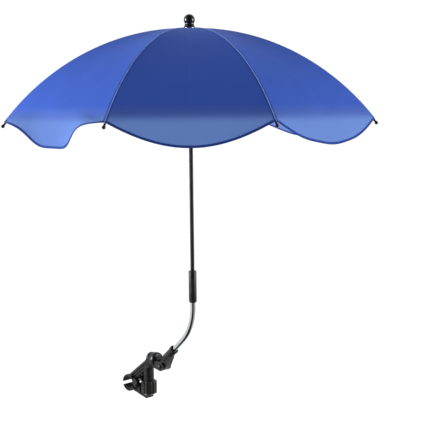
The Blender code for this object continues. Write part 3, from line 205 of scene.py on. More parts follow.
def softbox(name, side, turn, lift, width, height, power):
    """A rectangular lamp round the object: turn is its angle from the camera's side, in degrees."""
    lamp = bpy.data.lights.new(name, "AREA")
    lamp.shape = "RECTANGLE"
    lamp.size = width
    lamp.size_y = height
    lamp.energy = power
    lamp.color = DAYLIGHT
    made = bpy.data.objects.new(name, lamp)
    scene.collection.objects.link(made)
    angle = math.radians(turn)
    out = -math.cos(angle) * level_heading + side * math.sin(angle) * LEFTWARD
    spot = HEART + LAMP_DISTANCE * out + Vector((0, 0, lift))
    away = (HEART - spot).normalized()
    made.matrix_world = Matrix.Translation(spot) @ away.to_track_quat("-Z", "Y").to_matrix().to_4x4()


softbox("left_softbox", 1, 82, 0.25, 0.45, 1.1, 52)
softbox("right_softbox", -1, 82, 0.2, 0.4, 1.1, 34)
print("a white room, a floor and two softboxes")

# %% [markdown]
# Finishes. A material is a small recipe of nodes. Every pattern is read from the object's own coordinates or
# from the cloth's own map, in metres, so a grain of a third of a millimetre is written as one. First the
# black moulded plastic: fine spark-eroded grain, a faint olive bloom, and edges rubbed a little lighter.

# %% Moulded plastic
def recipe(name, colour, roughness, metallic=0.0, **constants):
    """A material with its Principled shader, whose constants are set on the shader itself."""
    made = bpy.data.materials.new(name)
    made.use_nodes = True
    shader = made.node_tree.nodes["Principled BSDF"]
    shader.inputs["Base Color"].default_value = (*colour, 1)
    shader.inputs["Roughness"].default_value = roughness
    shader.inputs["Metallic"].default_value = metallic
    for socket, value in constants.items():
        shader.inputs[socket.replace("_", " ")].default_value = value
    return made, made.node_tree, shader


def noise(tree, place, grain, detail=2.0):
    """Noise with lumps about as large as the grain, in metres."""
    made = new_node(tree, "ShaderNodeTexNoise")
    feed(tree, place, made.inputs["Vector"])
    made.inputs["Scale"].default_value = 1 / grain
    made.inputs["Detail"].default_value = detail
    return made.outputs["Fac"]


def bumped(tree, shader, height, depth, strength=1.0):
    """Bump on a shader from a height between 0 and 1, its depth in metres."""
    made = new_node(tree, "ShaderNodeBump")
    made.inputs["Strength"].default_value = strength
    made.inputs["Distance"].default_value = depth
    feed(tree, height, made.inputs["Height"])
    feed(tree, made.outputs["Normal"], shader.inputs["Normal"])


def edges_worn(tree, reach):
    """1 on an outer edge and 0 on a flat face, from how far a rounded normal leans from the true one."""
    soft = new_node(tree, "ShaderNodeBevel", samples=4)
    soft.inputs["Radius"].default_value = reach
    true = new_node(tree, "ShaderNodeNewGeometry").outputs["True Normal"]
    dot = new_node(tree, "ShaderNodeVectorMath", operation="DOT_PRODUCT")
    feed(tree, soft.outputs["Normal"], dot.inputs[0])
    feed(tree, true, dot.inputs[1])
    return ranged(tree, dot.outputs["Value"], 0.97, 0.8)


def moulded(name, colour, worn, roughness, grain=0.35 * MM, depth=0.03 * MM):
    """Grained plastic with uneven bloom and rubbed edges."""
    made, tree, shader = recipe(name, colour, roughness, Specular_IOR_Level=0.4)
    place = new_node(tree, "ShaderNodeTexCoord").outputs["Object"]
    bloom = noise(tree, place, 14 * MM, 3)
    lighter = tuple(1.7 * c + 0.002 for c in colour)
    base = mixed(tree, ranged(tree, bloom, 0.35, 0.7), (*colour, 1), (*lighter, 1))
    patchy = ranged(tree, noise(tree, place, 3 * MM), 0.3, 0.7)
    rubbed = maths(tree, "MULTIPLY", edges_worn(tree, 0.5 * MM), patchy)
    colours = mixed(tree, maths(tree, "MULTIPLY", rubbed, 0.6), base, (*worn, 1))
    feed(tree, colours, shader.inputs["Base Color"])
    feed(tree, ranged(tree, bloom, 0.2, 0.8, roughness - 0.06, roughness + 0.08), shader.inputs["Roughness"])
    bumped(tree, shader, noise(tree, place, grain, 4), depth)
    return made


BLACK_PLASTIC = moulded("black_plastic", (0.007, 0.0075, 0.006), (0.05, 0.054, 0.045), 0.34)
print("plastic mixed:", BLACK_PLASTIC.name)

# %% [markdown]
# Gloss, paint and metal. The ball and the tips are polished black. The shaft and ribs are sprayed, which
# leaves a slight orange peel. Chrome is nearly a mirror with a few smudges; plated steel is duller, with
# fine rolling marks; rubber is matt.

# %% Gloss, paint, metals and rubber
def smooth_finish(name, colour, roughness, peel, depth, metallic=0.0, **constants):
    """A sprayed, polished or plated finish: slow waves in its surface and smudges in its gloss."""
    made, tree, shader = recipe(name, colour, roughness, metallic, **constants)
    place = new_node(tree, "ShaderNodeTexCoord").outputs["Object"]
    smudge = noise(tree, place, 9 * MM, 4)
    dulled = ranged(tree, smudge, 0.35, 0.75, 0.85 * roughness, 1.5 * roughness)
    feed(tree, dulled, shader.inputs["Roughness"])
    darker = tuple(0.85 * c for c in colour)
    feed(tree, mixed(tree, smudge, (*colour, 1), (*darker, 1)), shader.inputs["Base Color"])
    bumped(tree, shader, noise(tree, place, peel), depth)
    return made


GLOSS_BLACK = smooth_finish("gloss_black", (0.008, 0.008, 0.009), 0.07, 6 * MM, 0.01 * MM, Coat_Weight=0.3)
SHAFT_PAINT = smooth_finish(
    "shaft_paint", (0.014, 0.014, 0.014), 0.36, 1.2 * MM, 0.008 * MM, Specular_IOR_Level=0.3
)
RIB_PAINT = smooth_finish("rib_paint", (0.03, 0.03, 0.034), 0.35, 1 * MM, 0.015 * MM)
CHROME = smooth_finish("chrome", (0.82, 0.83, 0.84), 0.07, 12 * MM, 0.004 * MM, 1.0)
STEEL = smooth_finish("steel", (0.56, 0.56, 0.55), 0.3, 0.8 * MM, 0.012 * MM, 1.0)
DARK_STEEL = smooth_finish("blackened_steel", (0.075, 0.08, 0.075), 0.42, 0.8 * MM, 0.012 * MM, 1.0)
TIP_BLACK = smooth_finish("tip_black", (0.008, 0.008, 0.009), 0.22, 2 * MM, 0.01 * MM)
THREAD = smooth_finish("thread", (0.035, 0.075, 0.4), 0.6, 0.2 * MM, 0.05 * MM)
RUBBER = smooth_finish("rubber", (0.03, 0.03, 0.031), 0.8, 0.6 * MM, 0.04 * MM)
FLOOR_WHITE, _, floor_shader = recipe("floor_white", (0.6, 0.6, 0.6), 0.9, Emission_Color=(1, 1, 1, 1))
floor_shader.inputs["Emission Strength"].default_value = FLOOR_GLOW
floor_mesh.materials.append(FLOOR_WHITE)
print("finishes for gloss, paint, metal, rubber and thread")

# %% [markdown]
# The canopy's cloth is a plain weave. Below a level line a little above the rib tips it lets more light
# through, and there its colour is also painted paler: a painted glow for the light that shines through the
# lobes. The weave is read from the cloth's own map, whose unit is a metre of cloth, and so is a pale line
# painted down the middle of each panel, the painted highlight of a fold crease. The level line is read from
# a height that is stored in the mesh, so all of it stays in place when the canopy folds.

# %% Weave the cloths
# Top of the lower band, where the cloth is painted paler (a painted glow) and made more translucent
LIT_BAND_TOP = 577 * MM
LIT_BAND_BLUR = 18 * MM
CLOTH_ROUGH = 0.8
CLOTH_SHINE = 0.12
CLOTH_SHEEN = (0.55, 0.75, 1, 1)


def woven(name, colour, pitch, glow, sheen=0.0, band=None, band_glow=0.0):
    """Plain-woven cloth, whose face is lit from in front and whose glow is lit from behind.

    Below the band's top line its face is painted paler, a painted glow, and band-coloured light comes
    through.
    """
    made, tree, shader = recipe(name, colour, CLOTH_ROUGH, Sheen_Weight=sheen, Sheen_Roughness=0.35)
    shader.inputs["Specular IOR Level"].default_value = CLOTH_SHINE
    shader.inputs["Sheen Tint"].default_value = CLOTH_SHEEN
    cloth_map = new_node(tree, "ShaderNodeUVMap", uv_map="cloth").outputs["UV"]
    split = new_node(tree, "ShaderNodeSeparateXYZ")
    feed(tree, cloth_map, split.inputs[0])
    waves = [maths(tree, "SINE", maths(tree, "MULTIPLY", split.outputs[i], math.pi / pitch)) for i in (0, 1)]
    height = maths(tree, "MULTIPLY_ADD", maths(tree, "MULTIPLY", *waves), 0.5, 0.5)
    bumped(tree, shader, height, 0.06 * MM, 0.4)
    tone_and_highlight = maths(tree, "MULTIPLY", noise(tree, cloth_map, 35 * MM, 3), 0.35)
    if band:
        drift = maths(tree, "MULTIPLY_ADD", noise(tree, cloth_map, 60 * MM), 6 * MM, -3 * MM)
        off_middle = maths(tree, "ABSOLUTE", maths(tree, "ADD", split.outputs[0], drift))
        # Painted highlight: a paler line down the middle of each panel, where a fold crease would catch the
        # light
        crease = ranged(tree, off_middle, 1.6 * MM, 0.2 * MM)
        broken = ranged(tree, noise(tree, cloth_map, 25 * MM), 0.4, 0.6)
        tone_and_highlight = maths(tree, "MULTIPLY_ADD", maths(tree, "MULTIPLY", crease, broken), 0.5, tone_and_highlight)
    paler = tuple(1.3 * c + 0.006 for c in colour)
    dyed = mixed(tree, tone_and_highlight, (*colour, 1), (*paler, 1))
    if band:
        level = new_node(tree, "ShaderNodeAttribute", attribute_name="level").outputs["Fac"]
        above_lit_band = ranged(tree, level, LIT_BAND_TOP - LIT_BAND_BLUR, LIT_BAND_TOP + LIT_BAND_BLUR)
        # Painted glow: the face below the band's top is painted paler, for light shining through the lobes
        painted_lit_face = tuple(0.7 * c + 0.2 * b for c, b in zip(colour, band))
        dyed = mixed(tree, above_lit_band, (*painted_lit_face, 1), dyed)
    feed(tree, dyed, shader.inputs["Base Color"])
    through = new_node(tree, "ShaderNodeBsdfTranslucent")
    both = new_node(tree, "ShaderNodeMixShader")
    if band:
        feed(tree, mixed(tree, above_lit_band, (*band, 1), (*colour, 1)), through.inputs["Color"])
        feed(tree, ranged(tree, above_lit_band, 0, 1, band_glow, glow), both.inputs["Fac"])
    else:
        feed(tree, dyed, through.inputs["Color"])
        both.inputs["Fac"].default_value = glow
    feed(tree, shader.outputs[0], both.inputs[1])
    feed(tree, through.outputs[0], both.inputs[2])
    feed(tree, both.outputs[0], tree.nodes["Material Output"].inputs["Surface"])
    return made


# Colour of the light through the lower band, also mixed into its painted paler face
BAND_CLOTH = (0.56, 0.74, 0.98)
CANOPY_CLOTH = woven("canopy_cloth", (0.044, 0.113, 0.54), 0.45 * MM, 0.06, 0.06, BAND_CLOTH, 0.5)
HEM_TAPE = woven("hem_tape", (0.016, 0.05, 0.26), 0.7 * MM, 0.04, 0.1)
# Painted highlight: the seam tape is painted far paler than the cloth, for the light its ridge catches
SEAM_HIGHLIGHT_TAPE = woven("seam_highlight_tape", (0.22, 0.36, 0.8), 0.6 * MM, 0.05, 0.2)
print("cloth, hem tape and seam tape")

# %% [markdown]
# Rigid pieces. The frame's solids have crisp edges, as drawn. Real mouldings and castings never do: a mould
# leaves a small radius on every edge, and that radius catches the light. So each solid is copied, its loose
# triangles are merged, its flat faces joined, and a Bevel modifier rounds the edges that are sharp.

# %% Round the edges of the rigid pieces
MERGE = 0.005 * MM
FLAT = math.radians(0.6)
CRISP = math.radians(32)


def set_down(name, mesh, finish):
    """A new object of a mesh and a finish."""
    mesh.materials.clear()
    mesh.materials.append(finish)
    made = bpy.data.objects.new(name, mesh)
    scene.collection.objects.link(made)
    return made


def dress(piece, body, slot, *nodes):
    """Let a finished piece ride on a body, in place of the solids it stands for."""
    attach(piece, body)
    if nodes:
        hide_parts(*nodes)


def rounded(node, finish, slot, radius=0.35 * MM):
    """A solid's copy with its sharp edges rounded."""
    work = bmesh.new()
    work.from_mesh(frame["nodes"][node].data)
    bmesh.ops.remove_doubles(work, verts=work.verts, dist=MERGE)
    bmesh.ops.dissolve_limit(work, angle_limit=FLAT, verts=work.verts, edges=work.edges)
    for layer in list(work.loops.layers.float_vector):
        work.loops.layers.float_vector.remove(layer)
    mesh = bpy.data.meshes.new("fine_" + node)
    work.to_mesh(mesh)
    work.free()
    spare = mesh.attributes.get("custom_normal")
    if spare:
        mesh.attributes.remove(spare)
    mesh.shade_smooth()
    mesh.set_sharp_from_angle(angle=CRISP)
    piece = set_down("fine_" + node, mesh, finish)
    edge = piece.modifiers.new("rounded edges", "BEVEL")
    edge.width = radius
    edge.segments = 2
    edge.limit_method = "ANGLE"
    edge.angle_limit = CRISP
    edge.harden_normals = True
    dress(piece, BODY[node], slot, node)


PANELS = 8
CLAMP_STEEL = ["jaw_spring", "screw_nut", "thrust_washer", "clamp_screw", "swivel_bolt"]
CROWN_STEEL = ["notch_wire", "runner_wire", "canopy_washer", "top_catch", "bottom_catch"]
PLASTIC_PIECES = ["clamp_body", "lower_jaw", "swivel_head", "socket", "top_notch", "runner"]
for node in PLASTIC_PIECES:
    rounded(node, BLACK_PLASTIC, "black_plastic")
for node in CLAMP_STEEL + CROWN_STEEL:
    rounded(node, STEEL, "steel", 0.15 * MM)
for node in ("jaw_pin", "tilt_bolt", "tilt_nut"):
    rounded(node, DARK_STEEL, "steel", 0.15 * MM)
for node in ("upper_pad", "lower_pad"):
    rounded(node, RUBBER, "rubber", 0.2 * MM)
rounded("chrome_tube", CHROME, "chrome", 0.1 * MM)
rounded("shaft", SHAFT_PAINT, "shaft_paint", 0.1 * MM)
for number in range(1, PANELS + 1):
    rounded(f"rib_{number}", RIB_PAINT, "rib_paint", 0.2 * MM)
    rounded(f"stretcher_{number}", RIB_PAINT, "rib_paint", 0.2 * MM)

# %% [markdown]
# The canopy's shape. Each panel is cut like an orange peel and stretched between two ribs, so it lies on the
# ribs' sphere at its seams and is drawn in a little between them. Below the tips it hangs as a free lobe,
# which stands outward. The lobes differ, as cloth does: most fall in one even curve, three have swung in,
# toward the shaft, one leans far out, and one has been creased into a bell. A formula fits such a surface
# better than modelling by hand, because all eight panels share it.

# %% Describe a panel by a formula
HALF_PANEL = math.pi / PANELS
CLOTH = 0.5 * MM
SPHERE = 472 * MM
CLOTH_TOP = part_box("gore_1")[1].z
SPHERE_Z = CLOTH_TOP - 0.4 * MM - SPHERE
CANOPY_ANGLE = math.radians(51.3)
HOLE = 5 * MM
SEAM_GAP = 0.8 * MM
PANEL_SAG = 5 * MM
CREASE_RISE = 18 * MM
LOBE_SWELL = 3 * MM
BELL_HALF = 0.49
BELL_POWER = 4.5
RIPPLE = 0.5 * MM
# Lobe of each panel: drop, share of bell (below 0 it is fuller than an even curve), outward lean, and how
# much more its flanks lean
LOBES = {
    1: (44 * MM, 0.2, 25 * MM, 5 * MM),
    2: (6 * MM, 0.0, -36 * MM, 0 * MM),
    3: (32 * MM, 0.0, -38 * MM, 0 * MM),
    4: (46 * MM, 1.0, 10 * MM, 66 * MM),
    5: (43 * MM, 0.0, 27 * MM, 0 * MM),
    6: (43 * MM, -0.1, 27 * MM, 0 * MM),
    7: (30 * MM, 0.0, -38 * MM, 0 * MM),
    8: (43 * MM, 0.1, 44 * MM, 8 * MM),
}


def bell(share):
    """1 in the middle of a lobe and 0 at its ends, steep between."""
    end = 1 / (1 + (1 / BELL_HALF) ** BELL_POWER)
    here = 1 / (1 + (abs(share) / BELL_HALF) ** BELL_POWER)
    return (here - end) / (1 - end)


def panel_turn(number):
    """Carries a panel from +X, where its formula stands, to its place."""
    return Matrix.Translation((0, SHAFT_Y, 0)) @ Matrix.Rotation(2 * HALF_PANEL * number, 4, "Z")


def panel_point(number, across, down, low):
    """A point of a panel: across from -1 to 1, down its ribs from 0 to 1, then down its lobe from 0 to 1."""
    drop, belled, lean, flank = LOBES[number]
    spread = 1 - across**2
    top = math.asin(HOLE / SPHERE)
    crease = math.acos(math.cos(CANOPY_ANGLE) + CREASE_RISE * spread / SPHERE)
    angle = top + (crease - top) * down
    out = SPHERE * math.sin(angle)
    sag = PANEL_SAG * spread * math.sin(math.pi * down) ** 2
    wave = math.sin(9 * across + 2.3 * number) * math.sin(14 * down + number) * spread * down**3
    sag += RIPPLE * wave
    hang = (1 - belled) * spread + belled * bell(across)
    fall = (CREASE_RISE * spread + drop * hang) * low
    push = spread * (lean + flank * across**2) * low + LOBE_SWELL * spread * math.sin(math.pi * low)
    x = out * math.cos(HALF_PANEL) - sag * math.sin(angle) + push
    y = across * (out * math.sin(HALF_PANEL) - SEAM_GAP / 2)
    z = SPHERE_Z + SPHERE * math.cos(angle) - sag * math.cos(angle) - fall
    return Vector((x, y, z))


tip_out = SPHERE * math.sin(CANOPY_ANGLE)
rim_height = SPHERE_Z + SPHERE * math.cos(CANOPY_ANGLE)
print(f"canopy {2 * tip_out / MM:.0f} mm across its seams, rim at z = {rim_height / MM:.0f} mm")

# %% [markdown]
# Cutting the panels. The formula gives a net of points, a Solidify modifier gives the cloth its thickness,
# and each point keeps its place on the flat cloth in a map called "cloth". When the parasol closes, one
# edge of a panel goes with its own rib and the other with the next rib.

# %% Cut and hang the eight panels
COLUMNS = 48
PANEL_ROWS = 44
LOBE_ROWS = 14


def net(number, across_points, rows):
    """Points of a panel in its place, by row and column."""
    turn = panel_turn(number)
    return [[turn @ panel_point(number, s, down, low) for s in across_points] for down, low in rows]


def cloth_sheet(name, grid, thickness, finish):
    """A sheet of cloth over a grid of points, mapped in metres."""
    wide = len(grid[0])
    mesh = bpy.data.meshes.new(name)
    faces = []
    for r in range(len(grid) - 1):
        for c in range(wide - 1):
            a = r * wide + c
            faces.append((a, a + wide, a + wide + 1, a + 1))
    mesh.from_pydata([p for row in grid for p in row], [], faces)
    middle = wide // 2
    places = []
    length = 0.0
    for r, row in enumerate(grid):
        if r:
            length += (row[middle] - grid[r - 1][middle]).length
        width = [0.0]
        for a, b in zip(row, row[1:]):
            width.append(width[-1] + (b - a).length)
        places += [(w - width[middle], -length) for w in width]
    layer = mesh.uv_layers.new(name="cloth")
    for loop in mesh.loops:
        layer.data[loop.index].uv = places[loop.vertex_index]
    level = mesh.attributes.new("level", "FLOAT", "POINT")
    for vertex in mesh.vertices:
        level.data[vertex.index].value = vertex.co.z
    mesh.shade_smooth()
    piece = set_down(name, mesh, finish)
    wall = piece.modifiers.new("thickness", "SOLIDIFY")
    wall.thickness = thickness
    wall.offset = 0
    return frozen(piece)


def frozen(piece):
    """The piece as its modifiers leave it, with none left."""
    evaluated = piece.evaluated_get(bpy.context.evaluated_depsgraph_get())
    mesh = bpy.data.meshes.new_from_object(evaluated)
    piece.modifiers.clear()
    piece.data = mesh
    return piece


def fold_with(piece, number):
    """Bake a piece's place into its mesh; its corners at the two ribs are found, but it is not blended
    between them.
    """
    turn = panel_turn(number)
    near = turn @ panel_point(number, -1, 1, 0)
    far = turn @ panel_point(number, 1, 1, 0)
    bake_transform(piece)


def face_area(piece):
    """Half the area of a thin closed sheet, which is the area of one side."""
    return sum(face.area for face in piece.data.polygons) / 2


ACROSS = [2 * c / COLUMNS - 1 for c in range(COLUMNS + 1)]
ROWS = [(r / PANEL_ROWS, 0) for r in range(PANEL_ROWS)] + [(1, r / LOBE_ROWS) for r in range(LOBE_ROWS + 1)]
panels = {}
for number in range(1, PANELS + 1):
    panel = cloth_sheet(f"canopy_panel_{number}", net(number, ACROSS, ROWS), CLOTH, CANOPY_CLOTH)
    panels[number] = panel
    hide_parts(f"gore_{number}")
print(f"a panel has {face_area(panels[5]):.4f} square metres of cloth")

# %% [markdown]
# The hem. A narrow dark tape is folded over the raw edge and sewn through. Its section is a flat U, drawn
# along the hem: at each point the tape needs to know which way the cloth faces and which way is up the
# cloth, and both come from the panel's formula.

# %% Bind the hems
TAPE_WIDTH = 3.6 * MM
TAPE_OVER = 0.5 * MM
TAPE_OUT = 0.65 * MM
TAPE_CRISP = math.radians(50)
HEM_STEPS = 96
NUDGE = 0.004


def hem_frames(number):
    """Along a hem: the point, the direction up the cloth and the direction out of it."""
    turn = panel_turn(number)
    frames = []
    for i in range(HEM_STEPS + 1):
        s = 2 * i / HEM_STEPS - 1
        here = panel_point(number, s, 1, 1)
        ahead = panel_point(number, min(s + NUDGE, 1), 1, 1) - panel_point(number, max(s - NUDGE, -1), 1, 1)
        up = panel_point(number, s, 1, 0.8) - here
        if up.length < MM:
            up = panel_point(number, s, 0.98, 0) - here
        along = ahead.normalized()
        up = (up - up.dot(along) * along).normalized()
        out = along.cross(up).normalized()
        if out.x < 0:
            out = -out
        frames.append((turn @ here, turn.to_3x3() @ up, turn.to_3x3() @ out))
    return frames


def swept(name, rings, finish, closed_ends=True):
    """A skin over rings of points."""
    work = bmesh.new()
    rows = [[work.verts.new(p) for p in ring] for ring in rings]
    count = len(rows[0])
    for a, b in zip(rows, rows[1:]):
        for i in range(count):
            j = (i + 1) % count
            work.faces.new((a[i], a[j], b[j], b[i]))
    if closed_ends:
        work.faces.new(rows[0])
        work.faces.new(rows[-1])
    bmesh.ops.recalc_face_normals(work, faces=work.faces)
    mesh = bpy.data.meshes.new(name)
    work.to_mesh(mesh)
    work.free()
    layer = mesh.uv_layers.new(name="cloth")
    walked = [0.0]
    for a, b in zip(rings, rings[1:]):
        walked.append(walked[-1] + (b[0] - a[0]).length)
    around = [0.0]
    for a, b in zip(rings[0], rings[0][1:]):
        around.append(around[-1] + (b - a).length)
    for loop in mesh.loops:
        ring, point = divmod(loop.vertex_index, count)
        layer.data[loop.index].uv = (walked[ring], around[point])
    level = mesh.attributes.new("level", "FLOAT", "POINT")
    for vertex in mesh.vertices:
        level.data[vertex.index].value = vertex.co.z
    mesh.shade_smooth()
    mesh.set_sharp_from_angle(angle=TAPE_CRISP)
    return set_down(name, mesh, finish)


SECTION = [(TAPE_WIDTH, 0.6), (0.9 * TAPE_WIDTH, 1), (0, 1), (-TAPE_OVER, 0.6), (-TAPE_OVER, -0.6), (0, -1)]
SECTION += [(0.9 * TAPE_WIDTH, -1), (TAPE_WIDTH, -0.6)]
hems = {}
for number in range(1, PANELS + 1):
    rings = []
    for point, up, out in hem_frames(number):
        rings.append([point + rise * up + side * TAPE_OUT * out for rise, side in SECTION])
    hems[number] = swept(f"hem_tape_{number}", rings, HEM_TAPE)
print("eight hems bound")

# %% [markdown]
# Seams. Where two panels meet over a rib their edges are turned and piped, which leaves a raised line from
# the crown to each tip, its tape painted far paler than the cloth as a painted highlight of the ridge. It is
# a low rounded strip on the sphere, and it goes with its rib. Inside, the turned edges lie between cloth and
# rib as a folded strip. A seam is the ridge of a low roof, since each panel is straight from rib to rib, so
# both sections slope down to either side.

# %% Pipe the seams over the ribs
SEAM_HALF = 0.7 * MM
SEAM_HIGH = 0.8 * MM
SEAM_STEPS = 72
SEAM_STARTS = 9 * MM
ALLOWANCE_HALF = 3.5 * MM
CROWN_SHARE = 0.32
SEAM_SHAPE = [(-1, -0.3), (-1, 0.35), (-0.65, 0.8), (0, 1), (0.65, 0.8), (1, 0.35), (1, -0.3)]


def rib_turn(number):
    """Carries a rib's plane from Y = 0 to its place."""
    return Matrix.Translation((0, SHAFT_Y, 0)) @ Matrix.Rotation(HALF_PANEL * (2 * number - 1), 4, "Z")


def along_rib(name, number, shape, finish):
    """A strip from the crown to a rib's tip: shape is its section, across the rib and out of the sphere.

    Near the crown the strips would meet, so there each is narrowed to a share of its way from the shaft.
    """
    turn = rib_turn(number)
    rings = []
    first = math.asin(SEAM_STARTS / SPHERE)
    for i in range(SEAM_STEPS + 1):
        a = first + (CANOPY_ANGLE - first) * i / SEAM_STEPS
        up = Vector((math.sin(a), 0, math.cos(a)))
        base = Vector((0, 0, SPHERE_Z)) + SPHERE * up
        narrow = min(1, SPHERE * math.sin(a) * CROWN_SHARE / ALLOWANCE_HALF)
        roof = math.tan(HALF_PANEL) * math.sin(a)
        ring = [(x * narrow, z - abs(x * narrow) * roof) for x, z in shape]
        rings.append([turn @ (base + x * Vector((0, 1, 0)) + z * up) for x, z in ring])
    dress(swept(name, rings, finish), f"rib_{number}", "canopy_cloth")


PIPING = [(SEAM_HALF * x, SEAM_HIGH * z) for x, z in SEAM_SHAPE]
UPPER = -0.32 * MM
LOWER = -0.8 * MM
ALLOWANCE = [(-ALLOWANCE_HALF, UPPER), (0, UPPER), (ALLOWANCE_HALF, UPPER)]
ALLOWANCE += [(ALLOWANCE_HALF, LOWER), (0, LOWER), (-ALLOWANCE_HALF, LOWER)]
for number in range(1, PANELS + 1):
    along_rib(f"rib_seam_{number}", number, PIPING, SEAM_HIGHLIGHT_TAPE)
    along_rib(f"seam_allowance_{number}", number, ALLOWANCE, HEM_TAPE)
print("eight seams piped, with their turned edges inside")

# %% [markdown]
# Stitches. A sewing machine leaves short even stitches, a little uneven in length and tension. They are many
# and alike, so Geometry Nodes lays them: an edge path becomes a curve, the curve becomes points one pitch
# apart, and each point gets a small bead of thread turned along the path. Then the stitches are made real.

# %% Sew the hems and seams
STITCH_PITCH = 3 * MM
STITCH_LENGTH = 2.3 * MM
STITCH_THICK = 0.36 * MM
STITCH_SEED = 7
HEM_ROW = 0.72
SEAM_ROW = 2.1 * MM
SEAM_LIFT = 0.33 * MM
ROW_START = 0.045
ROW_SPAN = 0.95
ROW_INMOST = 0.4


def sewing_machine():
    """A node group that lays stitches along the edges of a mesh."""
    group = bpy.data.node_groups.new("sewing_machine", "GeometryNodeTree")
    face = group.interface
    face.new_socket("Path", in_out="INPUT", socket_type="NodeSocketGeometry")
    for name in ("Pitch", "Length", "Thickness"):
        face.new_socket(name, in_out="INPUT", socket_type="NodeSocketFloat")
    face.new_socket("Seed", in_out="INPUT", socket_type="NodeSocketInt")
    face.new_socket("Thread", in_out="INPUT", socket_type="NodeSocketMaterial")
    face.new_socket("Stitches", in_out="OUTPUT", socket_type="NodeSocketGeometry")
    given = new_node(group, "NodeGroupInput").outputs
    curve = new_node(group, "GeometryNodeMeshToCurve")
    feed(group, given["Path"], curve.inputs["Mesh"])
    spots = new_node(group, "GeometryNodeCurveToPoints", mode="LENGTH")
    feed(group, curve.outputs["Curve"], spots.inputs["Curve"])
    feed(group, given["Pitch"], spots.inputs["Length"])
    bead = new_node(group, "GeometryNodeMeshUVSphere")
    for name, value in (("Segments", 6), ("Rings", 5), ("Radius", 0.5)):
        bead.inputs[name].default_value = value
    uneven = new_node(group, "FunctionNodeRandomValue", data_type="FLOAT")
    numbers = [socket for socket in uneven.inputs if socket.type == "VALUE"]
    numbers[0].default_value, numbers[1].default_value = 0.86, 1.08
    feed(group, given["Seed"], uneven.inputs["Seed"])
    drawn = next(socket for socket in uneven.outputs if socket.type == "VALUE")
    size = new_node(group, "ShaderNodeCombineXYZ")
    feed(group, given["Thickness"], size.inputs["X"])
    feed(group, given["Thickness"], size.inputs["Y"])
    feed(group, maths(group, "MULTIPLY", given["Length"], drawn), size.inputs["Z"])
    lay = new_node(group, "GeometryNodeInstanceOnPoints")
    feed(group, spots.outputs["Points"], lay.inputs["Points"])
    feed(group, bead.outputs["Mesh"], lay.inputs["Instance"])
    feed(group, spots.outputs["Rotation"], lay.inputs["Rotation"])
    feed(group, size.outputs["Vector"], lay.inputs["Scale"])
    real = new_node(group, "GeometryNodeRealizeInstances")
    feed(group, lay.outputs["Instances"], real.inputs["Geometry"])
    soft = new_node(group, "GeometryNodeSetShadeSmooth")
    feed(group, real.outputs["Geometry"], soft.inputs["Geometry"])
    dye = new_node(group, "GeometryNodeSetMaterial")
    feed(group, soft.outputs["Geometry"], dye.inputs["Geometry"])
    feed(group, given["Thread"], dye.inputs["Material"])
    feed(group, dye.outputs["Geometry"], new_node(group, "NodeGroupOutput").inputs["Stitches"])
    return group


def sewn(name, machine, paths, seed):
    """Stitches along some paths, as one plain mesh."""
    mesh = bpy.data.meshes.new(name)
    points = [point for path in paths for point in path]
    edges = []
    count = 0
    for path in paths:
        edges += [(count + i, count + i + 1) for i in range(len(path) - 1)]
        count += len(path)
    mesh.from_pydata(points, edges, [])
    piece = set_down(name, mesh, THREAD)
    stitch = piece.modifiers.new("stitches", "NODES")
    stitch.node_group = machine
    values = {"Pitch": STITCH_PITCH, "Length": STITCH_LENGTH, "Thickness": STITCH_THICK}
    values |= {"Seed": seed, "Thread": THREAD}
    for item in machine.interface.items_tree:
        if item.name in values:
            stitch[item.identifier] = values[item.name]
    return frozen(piece)


def seam_row(number, side):
    """A row of stitches on a panel, beside the seam at one of its edges."""
    turn = panel_turn(number)
    row = []
    for i in range(SEAM_STEPS + 1):
        down = ROW_START + ROW_SPAN * i / SEAM_STEPS
        half = abs(panel_point(number, 1, down, 0).y)
        here = panel_point(number, side * max(1 - SEAM_ROW / half, ROW_INMOST), down, 0)
        out = (here - Vector((0, 0, SPHERE_Z))).normalized()
        row.append(turn @ (here + SEAM_LIFT * out))
    return row


machine = sewing_machine()
sewing = {}
for number in range(1, PANELS + 1):
    hem = hem_frames(number)[1:-1]
    paths = []
    for side in (-TAPE_OUT, TAPE_OUT):
        paths.append([point + HEM_ROW * TAPE_WIDTH * up + side * out for point, up, out in hem])
    paths += [seam_row(number, -1), seam_row(number, 1)]
    sewing[number] = sewn(f"stitches_{number}", machine, paths, STITCH_SEED + number)
print(sum(len(piece.data.polygons) for piece in sewing.values()), "faces of thread in eight pieces")

# %% [markdown]
# Ties. The cloth is sewn to each rib in a few places with some turns of thread round rib and seam. A tie is
# a helix, a little flatter than it is wide.

# %% Tie the cloth to the ribs
TIE_ANGLES = (11, 31, 44)
TIE_TURNS = 4
TIE_PITCH = 0.55 * MM
TIE_HALF = 1.95 * MM
TIE_DEEP = 2.15 * MM
TIE_CENTRE = -2.15 * MM
TIE_THREAD = 0.24 * MM
TIE_STEPS = 14
TIE_RING = [2 * math.pi * i / 6 for i in range(6)]


